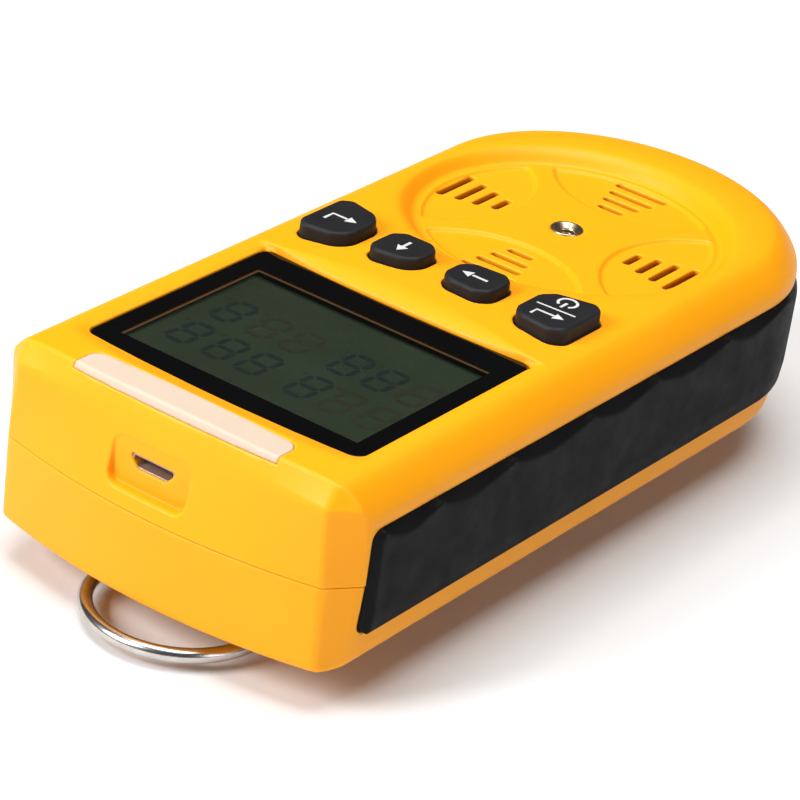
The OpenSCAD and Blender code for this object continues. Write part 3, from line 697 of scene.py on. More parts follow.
def front_shell_field(x, y, z):
    d = front_body(x, y, z)
    wall = plan(x, y) + SIDE_WALL
    cavity = r_and(d + SKIN, wall, 1.0)
    bow = 2.2 * clamp01((24 - z) / 10) * (1 - (x / 28) ** 2)
    cavity = np.maximum(cavity, y - 66.2 - bow)
    # solid left under the dish and display, and the posts
    block = union([
        cyl_z(x, y, z, DISH_X, DISH_Y, 27, 25.4, POST_TOP),
        box3(x, y, z, (-27, 12.6, 26.4), (27, 60.2, 40)),
        cylinders(x, y, z, CASE_SCREWS, CASE_POST_R, 0, POST_TOP),
        cylinders(x, y, z, BOARD_SCREWS, 2.3, 19.9, POST_TOP),
        cyl_z(x, y, z, DISH_X, DISH_Y, 4.3, 21, POST_TOP)])
    cavity = np.maximum(cavity, -block)
    # the cavity is open at the bottom
    mouth = np.maximum(wall, z - 20)
    mouth = np.maximum(mouth, y - 66.2)
    mouth = np.maximum(mouth, corner(x, y, z, FRONT_CORNER) + SKIN)
    mouth = np.maximum(mouth, -block)
    d = r_cut(d, np.minimum(cavity, mouth), 0.15)
    d = top_cuts(x, y, z, d)
    d = port_cut(x, y, z, d)
    d = grips_cut(x, y, z, d)
    d = r_cut(d, cyl_z(x, y, z, DISH_X, DISH_Y, 2.68, 22.4, 40), 0.15)   # insert's seat
    d = np.maximum(d, -cylinders(x, y, z, CASE_SCREWS, 1.27, 10, 22.1))
    return np.maximum(d, -cylinders(x, y, z, BOARD_SCREWS, 0.97, 10, 25.4))


def back_shell_field(x, y, z):
    d = back_body(x, y, z)
    outline = plan(x, y)
    cavity = r_and(outline + SIDE_WALL, 2.3 - z, 2.5)
    cavity = np.maximum(cavity, y - 66.0)
    cavity = np.maximum(cavity, corner(x, y, z, BACK_CORNER) + SKIN)
    posts = union([
        cylinders(x, y, z, CASE_SCREWS, CASE_POST_R, -5, POST_TOP),
        cylinders(x, y, z, FOUR_POSTS, 2.4, -5, 4.5),
        cylinders(x, y, z, MIDLINE_POSTS, 2.6, -5, 4.4)])
    cavity = np.maximum(cavity, -posts)
    d = r_cut(d, cavity, 0.15)
    d = grips_cut(x, y, z, d)
    for cx, cy in CASE_SCREWS:      # through hole, then the head's counterbore
        d = np.maximum(d, -cyl_z(x, y, z, cx, cy, 1.65, -2, 30))
        d = r_cut(d, cyl_z(x, y, z, cx, cy, 3.0, -2, 3.0), 0.2)
    d = np.maximum(d, -cylinders(x, y, z, FOUR_POSTS, 0.82, 1.4, 8))
    d = np.maximum(d, -cylinders(x, y, z, MIDLINE_POSTS, 1.27, -3, 4))
    # groove for the seal
    groove = np.maximum(outline + 2.65, -(outline + 3.55))
    groove = np.maximum(groove, np.maximum(y - 60, PARTING_Z - 0.82 - z))
    return np.maximum(d, -groove)


# ---------------------------------------------------------------- grips
# Where the grip dips, as length along it from the port end
VALLEYS = np.array([61.2, 48.0, 29.9, 9.5, -8.3, -29.1, -45.1])


def wave(s):
    """0 in a valley, 1 on a hump; a hump rises quickly, then falls away to the sensor end."""
    w = np.zeros_like(s)
    for a, b in zip(VALLEYS[:-1], VALLEYS[1:]):
        u = clamp01((a - s) / (a - b))
        u = u ** 0.82
        inside = (s <= a) & (s > b)
        w = np.where(inside, np.sin(np.pi * u) ** 0.85, w)
    w = np.where(s <= VALLEYS[-1], smoothstep(0, 7, VALLEYS[-1] - s), w)
    return np.where(s > VALLEYS[0], 0.75 * smoothstep(0, 1.0, s - VALLEYS[0]), w)


def grip_field(side):
    def field(x, y, z):
        out = plan(x, y)
        turn = np.degrees(np.arctan2(-np.minimum(y - END_Y, 0) / END_LENGTH,
                                     np.maximum(x * side, 1e-3) / HALF_WIDTH))
        s = np.where(y > END_Y, y, END_Y - 30 * turn / 64.5)
        hump = wave(s)
        upper = smoothstep(7.5, 20.0, z)
        far = smoothstep(-30, -60, s)
        # how far the rubber stands out: humps fade downwards and towards the far end
        stand = (1.02 + 0.12 * hump ** 3 * (0.2 + 0.8 * upper)
                 - 0.3 * smoothstep(10, 6.4, z) - 0.55 * far)
        inner, band = grip_region(x, y, z, GRIP_DEPTH, 0.0, GRIP_Z0, GRIP_Z1,
                                  GRIP_FRONT_Y, side)
        k = (1.38 - 0.5 * far) / (0.45 + 1.75 * hump)
        upper_bevel = (out + 0.28 - k * (GRIP_Z1 - z)) / np.sqrt(1 + k * k)
        front_bevel = (out + 0.28 - 1.2 * (GRIP_FRONT_Y - y)) * 0.64
        lower_bevel = (out + 0.02 - 1.2 * (z - GRIP_Z0)) * 0.64
        rim = r_and((out - stand) * 0.985, upper_bevel, 0.18)
        rim = r_and(rim, front_bevel, 0.25)
        rim = r_and(rim, lower_bevel, 0.2)
        return r_and(r_and(inner, band, 0.25), rim, 0.12)
    return field


def key_field(stem_x, pts):
    skirt_z0, skirt_z1 = 26.6, 27.85

    def field(x, y, z):
        outline = polygon(x, y, pts, 0.8, 0.0)
        # slight draft, a narrow soft edge round the top
        side = outline + 0.035 * (z - 30)
        bevelled = (outline + (z - KEY_TOP) + 0.42) * 0.7071
        d = r_and(side, bevelled, 0.22)
        d = r_and(d, z - KEY_TOP, 0.22)
        d = np.maximum(d, skirt_z0 - z)
        skirt = np.maximum(polygon(x, y, pts, 0.8, 1.0), np.maximum(skirt_z0 - z, z - skirt_z1))
        return union([d, skirt, cyl_z(x, y, z, stem_x, KEY_STEM_Y, 1.5, 26.2, 27.4)])
    return field


def bar_field(x, y, z):
    prism = box2(x, y - BAR_Y, 18.55, 10.0, BAR_R)
    d = r_and(front_body(x, y, z), r_and(prism, 29.86 - z, 0.1), 0.18)
    return np.minimum(d, box3(x, y, z, (-15, 63.6, 27.6), (15, 66.4, 30.2), 0.1))


# ---------------------------------------------------------------- materials
MATS = {}


class Material:
    """Small builder for procedural materials; the result is kept in MATS by name."""

    def __init__(self, name):
        self.mat = MATS[name] = bpy.data.materials.new(name)
        self.mat.use_nodes = True
        self.tree = self.mat.node_tree
        self.shader = self.tree.nodes["Principled BSDF"]
        coords = self.node("TexCoord")
        self.coords = self.scaled(coords.outputs["Object"], (1000, 1000, 1000))  # millimetres

    def node(self, kind):
        return self.tree.nodes.new("ShaderNode" + kind)

    def link(self, source, target):
        self.tree.links.new(source, target)

    def feed(self, **sockets):
        for key, socket in sockets.items():
            self.link(socket, self.shader.inputs[key.replace("_", " ")])

    def set(self, **values):
        for key, value in values.items():
            self.shader.inputs[key.replace("_", " ")].default_value = value

    def scaled(self, source, scale):
        n = self.node("Mapping")
        n.inputs["Scale"].default_value = scale
        self.link(source, n.inputs["Vector"])
        return n.outputs["Vector"]

    def noise(self, scale, detail=3.0, rough=0.55, stretch=None):
        n = self.node("TexNoise")
        n.inputs["Scale"].default_value = scale
        n.inputs["Detail"].default_value = detail
        n.inputs["Roughness"].default_value = rough
        source = self.scaled(self.coords, stretch) if stretch else self.coords
        self.link(source, n.inputs["Vector"])
        return n.outputs["Fac"]

    def ramp(self, value, to=(0, 1), span=(0.3, 0.7)):
        """Map the span of the value onto the range to, clamped."""
        n = self.node("MapRange")
        n.clamp = True
        n.inputs["From Min"].default_value = span[0]
        n.inputs["From Max"].default_value = span[1]
        n.inputs["To Min"].default_value = to[0]
        n.inputs["To Max"].default_value = to[1]
        self.link(value, n.inputs["Value"])
        return n.outputs["Result"]

    def mix(self, fac, first, second):
        n = self.node("Mix")
        n.data_type = "RGBA"
        self.link(fac, n.inputs[0])
        for i, colour in ((6, first), (7, second)):
            if isinstance(colour, tuple):
                n.inputs[i].default_value = (*colour, 1)
            else:
                self.link(colour, n.inputs[i])
        return n.outputs[2]

    def drift(self, first, second, scale, detail=2.0, span=(0.3, 0.7)):
        """Cloudy change between two colours."""
        return self.mix(self.ramp(self.noise(scale, detail), span=span), first, second)

    def bump(self, height, strength, distance):
        n = self.node("Bump")
        n.inputs["Strength"].default_value = strength
        n.inputs["Distance"].default_value = distance
        self.link(height, n.inputs["Height"])
        self.feed(Normal=n.outputs["Normal"])

    def attr(self, name):
        n = self.node("Attribute")
        n.attribute_name = name
        return n.outputs["Fac"]

    def surface(self, shader_node):
        """Put another shader in the Principled one's place."""
        output = self.tree.nodes["Material Output"]
        self.link(shader_node.outputs[0], output.inputs["Surface"])
        self.tree.nodes.remove(self.shader)


def plastic(name, base, dark, rough, grain, grain_s, spec, light=None, edge=0, painted_shade=None):
    """Moulded plastic: broad tone drift and spark-eroded grain.

    With edge, sharp edges wear towards light; the painted-shade colour darkens the depths as painted shade.
    """
    m = Material(name)
    colour = m.drift(dark, base, scale=0.035)
    if edge:
        wear = m.node("Math")
        wear.operation = "MULTIPLY"
        m.link(m.ramp(m.attr("edge"), to=(0, edge), span=(0.25, 1.2)), wear.inputs[0])
        patches = m.noise(scale=0.6, detail=4.0)
        m.link(m.ramp(patches, to=(0.35, 1.0), span=(0.35, 0.65)), wear.inputs[1])
        colour = m.mix(wear.outputs[0], colour, light)
    # painted shade: the depths are darkened towards this colour
    if painted_shade:
        colour = m.mix(m.ramp(m.attr("painted_shade"), span=(0, 1)), colour, painted_shade)
    m.feed(Base_Color=colour, Roughness=m.ramp(m.noise(scale=0.25, detail=4.0), to=rough))
    m.bump(m.noise(scale=grain, detail=2.0, rough=0.6), strength=grain_s, distance=0.00003)
    m.set(Specular_IOR_Level=spec)
    return m


def metal(name, base, dark, rough, brush=None, bump=0.05, metallic=1.0):
    """Metal with drifting tone; brush stretches its fine grain."""
    m = Material(name)
    fine = m.noise(scale=5.0 if brush else 9.0, detail=3.0, rough=0.6, stretch=brush)
    m.feed(Base_Color=m.drift(dark, base, scale=0.35, detail=4.0, span=(0.35, 0.65)),
           Roughness=m.ramp(fine, to=rough))
    m.set(Metallic=metallic)
    m.bump(fine, strength=bump, distance=0.00002)


def grey(value):
    return (value, value, value)


# the dark brown is painted shade for the insides of the vent slots
plastic("case_yellow", base=(0.92, 0.350, 0.0045), dark=(0.90, 0.337, 0.004),
        light=(0.98, 0.44, 0.035), painted_shade=(0.26, 0.07, 0.005), edge=0.30,
        rough=(0.38, 0.46), grain=6.0, grain_s=0.10, spec=0.20)
plastic("grip_rubber_black", base=(0.0038, 0.0038, 0.0044), dark=(0.0032, 0.0032, 0.0037),
        light=(0.010, 0.010, 0.0105), edge=0.30,
        rough=(0.55, 0.68), grain=9.0, grain_s=0.35, spec=0.11)
plastic("key_rubber_black", base=(0.0105, 0.0105, 0.0115), dark=(0.0085, 0.0085, 0.0095),
        light=(0.024, 0.024, 0.026), edge=0.40,
        rough=(0.50, 0.62), grain=12.0, grain_s=0.35, spec=0.22)
plastic("diffuser", base=(0.56, 0.445, 0.345), dark=(0.55, 0.43, 0.33),
        light=(0.61, 0.50, 0.40), edge=0.2,
        rough=(0.42, 0.55), grain=10.0, grain_s=0.12, spec=0.25).set(
    Subsurface_Weight=0.25, Subsurface_Scale=0.0008, Subsurface_Radius=(1.0, 0.7, 0.5))
# the line round the display is painted light: an orange strip with a faint glow where a lit edge shows beside the
# display
plastic("lcd_edge_painted_glow", base=(0.75, 0.42, 0.18), dark=(0.55, 0.30, 0.11),
        rough=(0.4, 0.6), grain=6.0, grain_s=0.15, spec=0.4).set(
    Emission_Color=(0.85, 0.42, 0.18, 1), Emission_Strength=0.16)

# name: base, dark, roughness range, grain scale, grain strength, specular level
PLAIN_PLASTICS = {
    "seal_black": (grey(0.02), grey(0.015), (0.6, 0.8), 8.0, 0.3, 0.45),
    "dark_plastic": ((0.012, 0.012, 0.013), (0.008, 0.008, 0.009), (0.45, 0.6), 6.0, 0.2, 0.45),
    "white_ink": ((0.60, 0.60, 0.59), (0.54, 0.54, 0.53), (0.5, 0.62), 14.0, 0.2, 0.45),
    "segment_blue": ((0.019, 0.030, 0.030), (0.017, 0.027, 0.027), (0.3, 0.4), 6.0, 0.15, 0.4),
    "segment_red": ((0.042, 0.041, 0.027), (0.038, 0.037, 0.025), (0.3, 0.4), 6.0, 0.15, 0.4),
    "circuit_board": ((0.012, 0.085, 0.035), (0.008, 0.06, 0.025), (0.25, 0.35), 3.0, 0.2, 0.4),
    "white_plastic": ((0.72, 0.73, 0.72), (0.66, 0.67, 0.66), (0.4, 0.5), 6.0, 0.15, 0.4),
    "led_body": ((0.85, 0.80, 0.66), (0.8, 0.74, 0.6), (0.2, 0.3), 6.0, 0.15, 0.4),
    "battery_wrap": ((0.03, 0.085, 0.28), (0.025, 0.07, 0.24), (0.3, 0.4), 1.5, 0.3, 0.4),
    "lead_insulation": ((0.42, 0.02, 0.012), (0.36, 0.015, 0.01), (0.4, 0.5), 6.0, 0.15, 0.4),
    "sensor_white": ((0.66, 0.66, 0.68), (0.6, 0.6, 0.62), (0.4, 0.55), 6.0, 0.15, 0.4),
    "sensor_red": ((0.45, 0.03, 0.018), (0.4, 0.025, 0.015), (0.4, 0.55), 6.0, 0.15, 0.4),
    "sensor_blue": ((0.03, 0.09, 0.33), (0.025, 0.08, 0.3), (0.4, 0.55), 6.0, 0.15, 0.4),
    # the dust filters are made charcoal so that the vent slots look dark: painted shade
    "filter_fabric_painted_shade": ((0.035, 0.035, 0.036), (0.024, 0.024, 0.025), (0.8, 0.95), 5.0, 0.6, 0.4),
}
for name, values in PLAIN_PLASTICS.items():
    plastic(name, *values)

metal("satin_steel", base=(0.60, 0.60, 0.61), dark=(0.46, 0.46, 0.47), rough=(0.22, 0.36),
      brush=(1.0, 14.0, 1.0), bump=0.12)
metal("ring_chrome", base=(0.62, 0.61, 0.60), dark=(0.50, 0.49, 0.48), rough=(0.20, 0.28),
      bump=0.03)
metal("insert_brass", base=(0.58, 0.49, 0.33), dark=(0.42, 0.34, 0.21), rough=(0.24, 0.36),
      brush=(1, 1, 8.0), bump=0.08)
metal("gold_contact", base=(0.88, 0.66, 0.28), dark=(0.7, 0.5, 0.2), rough=(0.2, 0.3))
metal("zinc_screw", base=(0.56, 0.57, 0.58), dark=(0.4, 0.41, 0.42), rough=(0.25, 0.42),
      bump=0.1)
# the socket's steel is tinted pink-brown, darkened and made partly diffuse: a painted warm reflection and painted
# shade inside the port
metal("socket_steel", base=(0.45, 0.29, 0.22), dark=(0.36, 0.23, 0.17), rough=(0.22, 0.36),
      bump=0.06, metallic=0.4)
metal("spring_wire", base=(0.44, 0.44, 0.46), dark=(0.3, 0.3, 0.31), rough=(0.25, 0.4), bump=0.1)


def lens_border():
    m = Material("lens_border")
    smears = m.noise(scale=1.5, detail=5.0)
    m.feed(Base_Color=m.drift((0.0012, 0.0012, 0.0013), (0.0018, 0.0018, 0.0019), scale=0.08),
           Roughness=m.ramp(smears, to=(0.05, 0.11), span=(0.35, 0.65)))
    m.set(Specular_IOR_Level=0.22)
    m.bump(m.noise(scale=0.12, detail=2.0), strength=0.05, distance=0.00003)


def lens_clear():
    """Clear window: shows what is behind it, with its own reflection."""
    m = Material("lens_clear")
    through = m.node("BsdfTransparent")
    through.inputs["Color"].default_value = (0.90, 0.92, 0.90, 1)
    gloss = m.node("BsdfGlossy")
    smears = m.noise(scale=1.5, detail=5.0)
    m.link(m.ramp(smears, to=(0.03, 0.08), span=(0.35, 0.65)), gloss.inputs["Roughness"])
    fresnel = m.node("Fresnel")
    fresnel.inputs["IOR"].default_value = 1.45
    mixed = m.node("MixShader")
    for i, n in enumerate((fresnel, through, gloss)):
        m.link(n.outputs[0], mixed.inputs[i])
    m.surface(mixed)


def lens_underside():
    """Underside of the clear window: it only tints."""
    m = Material("lens_underside")
    through = m.node("BsdfTransparent")
    tint = m.drift((0.93, 0.95, 0.93), (0.95, 0.96, 0.95), scale=0.1)
    m.link(tint, through.inputs["Color"])
    m.surface(through)


def lcd_face():
    """Cloudy tone of a switched-off display."""
    m = Material("lcd_face")
    cloud = m.drift((0.034, 0.047, 0.027), (0.044, 0.060, 0.037), scale=0.06, detail=3.0,
                    span=(0.35, 0.65))
    m.feed(Base_Color=cloud, Roughness=m.ramp(m.noise(scale=2.0), to=(0.30, 0.42)))
    m.set(Specular_IOR_Level=0.35)
    m.bump(m.noise(scale=6.0, detail=2.0), strength=0.06, distance=0.00002)


lens_border()
lens_clear()
lens_underside()
lcd_face()


# ---------------------------------------------------------------- CAD pieces kept as they are
def add_bevel(ob, width, segments, angle=35, harden=False):
    mod = ob.modifiers.new("soft_edge", "BEVEL")
    mod.width = width / 1000
    mod.segments = segments
    mod.limit_method = "ANGLE"
    mod.angle_limit = math.radians(angle)
    mod.harden_normals = harden
    return mod


# material: the nodes that wear it
NODE_MATERIALS = {
    "seal_black": "case_seal sensor_gasket",
    "zinc_screw": "case_screws board_screws sensor_board_screws clip_pin clip_screws",
    "dark_plastic": "key_switches lcd_frame buzzer battery_tray board_header",
    "circuit_board": "main_board sensor_board",
    "white_plastic": "lcd_backlight",
    "led_body": "alarm_leds",
    "satin_steel": "vibration_motor combustible_sensor clip_base clip_lever",
    "spring_wire": "motor_weight clip_spring",
    "battery_wrap": "battery_pack",
    "lead_insulation": "battery_leads",
    "gold_contact": "sensor_sockets",
    "sensor_white": "oxygen_sensor",
    "sensor_red": "carbon_monoxide_sensor",
    "sensor_blue": "hydrogen_sulfide_sensor",
    # charcoal dust filters: painted shade in the vent slots
    "filter_fabric_painted_shade": "dust_filters",
}
for name, nodes in NODE_MATERIALS.items():
    for node in nodes.split():
        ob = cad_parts[node]
        for slot in ob.material_slots:
            slot.material = MATS[name]
        if not ob.material_slots:
            ob.data.materials.append(MATS[name])

# bevel width: the nodes whose edges it softens
NODE_BEVELS = {
    0.2: "clip_base clip_lever battery_tray buzzer oxygen_sensor carbon_monoxide_sensor "
         "hydrogen_sulfide_sensor combustible_sensor",
    0.15: "clip_screws case_screws lcd_frame clip_pin vibration_motor battery_pack",
    0.12: "key_switches alarm_leds board_screws sensor_board_screws",
    0.1: "board_header motor_weight lcd_backlight",
    0.08: "main_board sensor_board",
}
for width, nodes in NODE_BEVELS.items():
    for node in nodes.split():
        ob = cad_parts[node]
        weld = ob.modifiers.new("weld", "WELD")
        weld.merge_threshold = 1e-6
        soft = add_bevel(ob, width, segments=2, angle=38, harden=True)
        soft.use_clamp_overlap = True


# ---------------------------------------------------------------- mesh helpers for the smaller pieces
def mesh_object(name, verts, faces, mats, mat_index=None, smooth=False):
    me = bpy.data.meshes.new(name)
    me.from_pydata([tuple(v) for v in place(verts)], [], [tuple(f) for f in faces])
    for mat in mats:
        me.materials.append(MATS[mat])
    if mat_index is not None:
        me.polygons.foreach_set("material_index", np.array(mat_index, np.int32))
    if smooth:
        me.polygons.foreach_set("use_smooth", np.ones(len(me.polygons), bool))
    me.update()
    me.validate()
    return add_object(name, me)


def lathe(name, profile, centre, mat, turns, radius_at=None):
    """Closed profile [(r, h)] turned about z; radius_at(r, h, angle) may vary the radius."""
    verts, faces = [], []
    count = len(profile)
    for i in range(turns):
        a = 2 * math.pi * i / turns
        for r, h in profile:
            if radius_at:
                r = radius_at(r, h, a)
            verts.append((centre[0] + r * math.cos(a), centre[1] + r * math.sin(a),
                          centre[2] + h))
    for i in range(turns):
        j = (i + 1) % turns
        for k in range(count):
            l = (k + 1) % count
            faces.append((i * count + k, j * count + k, j * count + l, i * count + l))
    return mesh_object(name, verts, faces, [mat], smooth=True)


def corner_arc(before, point, after, r, steps):
    """Points of the arc that rounds one corner of an outline."""
    p = np.array(point, float)
    a, b = np.array(before, float) - p, np.array(after, float) - p
    len_a, len_b = np.linalg.norm(a), np.linalg.norm(b)
    a /= len_a
    b /= len_b
    half = math.acos(max(-1, min(1, float(a @ b)))) / 2
    t = min(r / math.tan(half), len_a * 0.49, len_b * 0.49)
    r = t * math.tan(half)
    c = p + (a + b) / np.linalg.norm(a + b) * r / math.sin(half)
    start, end = p + a * t - c, p + b * t - c
    a0 = math.atan2(start[1], start[0])
    a1 = math.atan2(end[1], end[0])
    sweep = (a1 - a0 + math.pi) % (2 * math.pi) - math.pi
    angles = [a0 + sweep * k / steps for k in range(steps + 1)]
    return [(c[0] + r * math.cos(q), c[1] + r * math.sin(q)) for q in angles]


def round_outline(pts, r, steps=3):
    out = []
    for i in range(len(pts)):
        out += corner_arc(pts[i - 1], pts[i], pts[(i + 1) % len(pts)], r, steps)
    return out


def slab(name, pts, z0, z1, mat):
    n = len(pts)
    verts = [(x, y, z) for z in (z0, z1) for x, y in pts]
    faces = [tuple(reversed(range(n))), tuple(range(n, 2 * n))]
    faces += [(i, (i + 1) % n, n + (i + 1) % n, n + i) for i in range(n)]
    return mesh_object(name, verts, faces, [mat])


def stroke(pts, width, closed=False):
    """A line of this width along points, as 2-D vertices and quads."""
    verts = []
    p = [np.array(q, float) for q in pts]
    n = len(p)
    for i in range(n):
        a = p[(i - 1) % n] if closed or i > 0 else p[i]
        b = p[(i + 1) % n] if closed or i < n - 1 else p[i]
        t = (b - a) / np.linalg.norm(b - a)
        across = np.array([-t[1], t[0]])
        verts += [p[i] + across * width / 2, p[i] - across * width / 2]
    ends = [(i, (i + 1) % n) for i in range(n if closed else n - 1)]
    return verts, [(2 * i, 2 * i + 1, 2 * j + 1, 2 * j) for i, j in ends]


def face_of(pts):
    """A 2-D outline as one face."""
    return pts, [tuple(range(len(pts)))]


def raised(name, shapes, z, height, mat, body, sunk=0.02):
    """Thin marks: each shape is (2-D vertices, faces), raised above z and sunk into it."""
    verts, faces = [], []
    for flat, flat_faces in shapes:
        n0, n = len(verts), len(flat)
        verts += [(v[0], v[1], z + height) for v in flat]
        verts += [(v[0], v[1], z - sunk) for v in flat]
        edges = []
        for f in flat_faces:
            faces.append(tuple(n0 + i for i in f))
            faces.append(tuple(n0 + n + i for i in reversed(f)))
            edges += zip(f, f[1:] + f[:1])
        for a, b in edges:
            if (b, a) not in edges:
                faces.append((n0 + b, n0 + a, n0 + n + a, n0 + n + b))
    ob = mesh_object(name, verts, faces, [mat])
    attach(ob, body)


# ---------------------------------------------------------------- the case
CASE_CELL = 0.34


def slot_painted_shade(x, y, z):
    """1 low down inside a vent slot, where the case colour is darkened as painted shade."""
    near = smoothstep(0.3, 0.1, slot_cut(x, y))
    return near * smoothstep(27.7, 26.6, z)


# painted shade darkens the lower insides of the vent slots
cover = field_object("front_cover", front_shell_field, (-34.5, -74, 13.8), (34.5, 74, 32.2),
                     CASE_CELL, "case_yellow", keep=0.36, painted_shade_of=slot_painted_shade)
stand_in(cover, "case", "front_shell")
back = field_object("back_cover", back_shell_field, (-34.5, -74, -1.2), (34.5, 74, 15.6),
                    CASE_CELL, "case_yellow", keep=0.36)
stand_in(back, "case", "back_shell")
for side, node, x0, x1 in ((-1, "left_grip", -36.5, -5), (1, "right_grip", 5, 36.5)):
    grip = field_object(node + "_rubber", grip_field(side), (x0, -76, 5), (x1, 65, 25),
                        CASE_CELL, "grip_rubber_black", keep=0.5)
    stand_in(grip, "case", node)
for node, (stem_x, pts) in KEYS.items():
    xs, ys = zip(*pts)
    cap = field_object(node + "_cap", key_field(stem_x, pts), (min(xs) - 2, min(ys) - 2, 25.6),
                       (max(xs) + 2, max(ys) + 2, 34), 0.2, "key_rubber_black", keep=0.5)
    stand_in(cap, node + "_body", node)
bar = field_object("light_diffuser", bar_field, (-20, 61.5, 26.5), (20, 70.5, 32.5), 0.24,
                   "diffuser", keep=0.4)
stand_in(bar, "case", "alarm_light_bar")


# ---------------------------------------------------------------- lens
WINDOW_HALF = 22.1
WINDOW_Y = (21.25, 53.85)
# Rim from the underside up: growth of the outline, z
LENS_RIM = ((-0.05, LENS_BOTTOM), (0.0, LENS_BOTTOM + 0.08), (0.0, LENS_TOP - 0.22),
            (-0.06, LENS_TOP - 0.07), (-0.2, LENS_TOP))


def lens_outline(grow, steps=24):
    half = LENS_HALF + grow
    xs = [-half + 2 * half * i / steps for i in range(steps + 1)]
    low = [(x, lens_ends(x)[0] - grow) for x in xs]
    high = [(x, lens_ends(x)[1] + grow) for x in reversed(xs)]
    points, corners = [], set()
    for edge in (low, high):
        corners.add(len(points))
        # the points next to a corner make room for its arc
        points += edge[:1] + edge[2:-2] + edge[-1:]
        corners.add(len(points) - 1)
    out = []
    for i, p in enumerate(points):
        if i in corners:
            after = points[(i + 1) % len(points)]
            out += corner_arc(points[i - 1], p, after, LENS_CORNER_R + grow, 8)
        else:
            out.append(p)
    return out


def window_outline(rim):
    """Window outline, matched vertex by vertex with the rim along rays from its middle."""
    cy = (WINDOW_Y[0] + WINDOW_Y[1]) / 2
    half_y = (WINDOW_Y[1] - WINDOW_Y[0]) / 2
    pts = []
    for x, y, _ in rim:
        s = max(abs(x) / WINDOW_HALF, abs(y - cy) / half_y)
        pts.append((x / s, cy + (y - cy) / s))
    # exact corners of the window replace the nearest points
    for x, y in product((-WINDOW_HALF, WINDOW_HALF), WINDOW_Y):
        gaps = [(p[0] - x) ** 2 + (p[1] - y) ** 2 for p in pts]
        pts[int(np.argmin(gaps))] = (x, y)
    return pts


def build_lens():
    border, clear, under = range(3)
    rings = [[(x, y, z) for x, y in lens_outline(grow)] for grow, z in LENS_RIM]
    n = len(rings[0])
    verts = [v for r in rings for v in r]
    faces, mat_index = [], []

    def add(face, mat):
        faces.append(face)
        mat_index.append(mat)

    for k in range(len(rings) - 1):
        for i in range(n):
            j = (i + 1) % n
            add((k * n + i, k * n + j, (k + 1) * n + j, (k + 1) * n + i), border)
    for rim, start, z, turn, frame_mat, window_mat in (
            (rings[-1], (len(rings) - 1) * n, LENS_TOP, 1, border, clear),
            (rings[0], 0, LENS_BOTTOM, -1, under, under)):
        inner = len(verts)
        verts += [(x, y, z) for x, y in window_outline(rim)]
        for i in range(n):
            j = (i + 1) % n
            add((start + i, start + j, inner + j, inner + i)[::turn], frame_mat)
        add(tuple(range(inner, inner + n))[::turn], window_mat)
    lens = mesh_object("display_lens", verts, faces,
                       ["lens_border", "lens_clear", "lens_underside"], mat_index)
    stand_in(lens, "case", "lens_window")


build_lens()


# ---------------------------------------------------------------- display with unlit seven-segment digits
LCD_Z = 28.1
# Rows of large digits: y, which columns are dark; the rest are warm
DIGIT_ROWS = ((33.3, (0, 3, 4)), (43.6, (0, 1, 2, 3)))
DIGIT_X = (16.65, 9.85, 3.65, -5.55, -11.85, -18.05)
# Small digits: first x of each group of four, pitch, y
SMALL_X, SMALL_PITCH, SMALL_Y = (-18.25, 3.35), 3.3, 52.2


def rectangle(x0, x1, y0, y1):
    return [(x0, y0), (x1, y0), (x1, y1), (x0, y1)]


def circle(cx, cy, r, n):
    return [(cx + r * math.cos(a), cy + r * math.sin(a))
            for a in np.linspace(0, 2 * math.pi, n + 1)[:-1]]


def seven(cx, cy, width, height, thick, slant=0.09, gap=0.22):
    """The seven bars of one digit as flat hexagons."""
    X, Y = width / 2, height / 2
    out = []
    for p, q in (((-X, Y), (X, Y)), ((-X, 0), (X, 0)), ((-X, -Y), (X, -Y)),
                 ((-X, Y), (-X, 0)), ((-X, 0), (-X, -Y)), ((X, Y), (X, 0)), ((X, 0), (X, -Y))):
        p, q = np.array(p, float), np.array(q, float)
        d = (q - p) / np.linalg.norm(q - p)
        p, q = p + d * gap, q - d * gap
        along = d * thick / 2
        across = np.array([-d[1], d[0]]) * thick / 2
        pts = [p, p + along + across, q - along + across, q, q - along - across,
               p + along - across]
        out.append(face_of([(cx + v[0] + slant * v[1], cy + v[1]) for v in pts][::-1]))
    return out


glass = slab("display_glass", round_outline(rectangle(-23.25, 23.25, 19.15, 55.75), 0.3),
             26.1, LCD_Z, "lcd_face")
add_bevel(glass, 0.08, segments=2)
stand_in(glass, "case", "lcd_glass")
dark, warm = [], []
for y, dark_columns in DIGIT_ROWS:
    for i, x in enumerate(DIGIT_X):
        (dark if i in dark_columns else warm).extend(seven(x, y, 3.7, 7.0, 0.95))
        if i % 3 != 2:
            warm.append(face_of(circle(x + 3.0, y - 3.2, 0.45, 8)))
for x in SMALL_X:
    for k in range(4):
        warm.extend(seven(x + k * SMALL_PITCH, SMALL_Y, 1.5, 2.5, 0.38))
raised("display_digits_dark", dark, LCD_Z, 0.012, "segment_blue", "case")
raised("display_digits_warm", warm, LCD_Z, 0.012, "segment_red", "case")
# painted light: a glowing orange strip standing in for the lit edge beside the display
painted_glow_line = round_outline(rectangle(-23.0, 23.0, 19.4, 55.5), 0.2)
raised("display_painted_glow_line", [stroke(painted_glow_line, 0.4, closed=True)], LCD_Z, 0.05,
       "lcd_edge_painted_glow", "case")


# ---------------------------------------------------------------- marks on the keys: generic symbols
def arc(cx, cy, r, start, stop, steps):
    angles = [math.radians(start + (stop - start) * i / steps) for i in range(steps + 1)]
    return [(cx + r * math.cos(a), cy + r * math.sin(a)) for a in angles]


def arrowhead(cx, cy, r, angle):
    return face_of(arc(cx, cy, r, angle, angle + 360, 3)[:3])


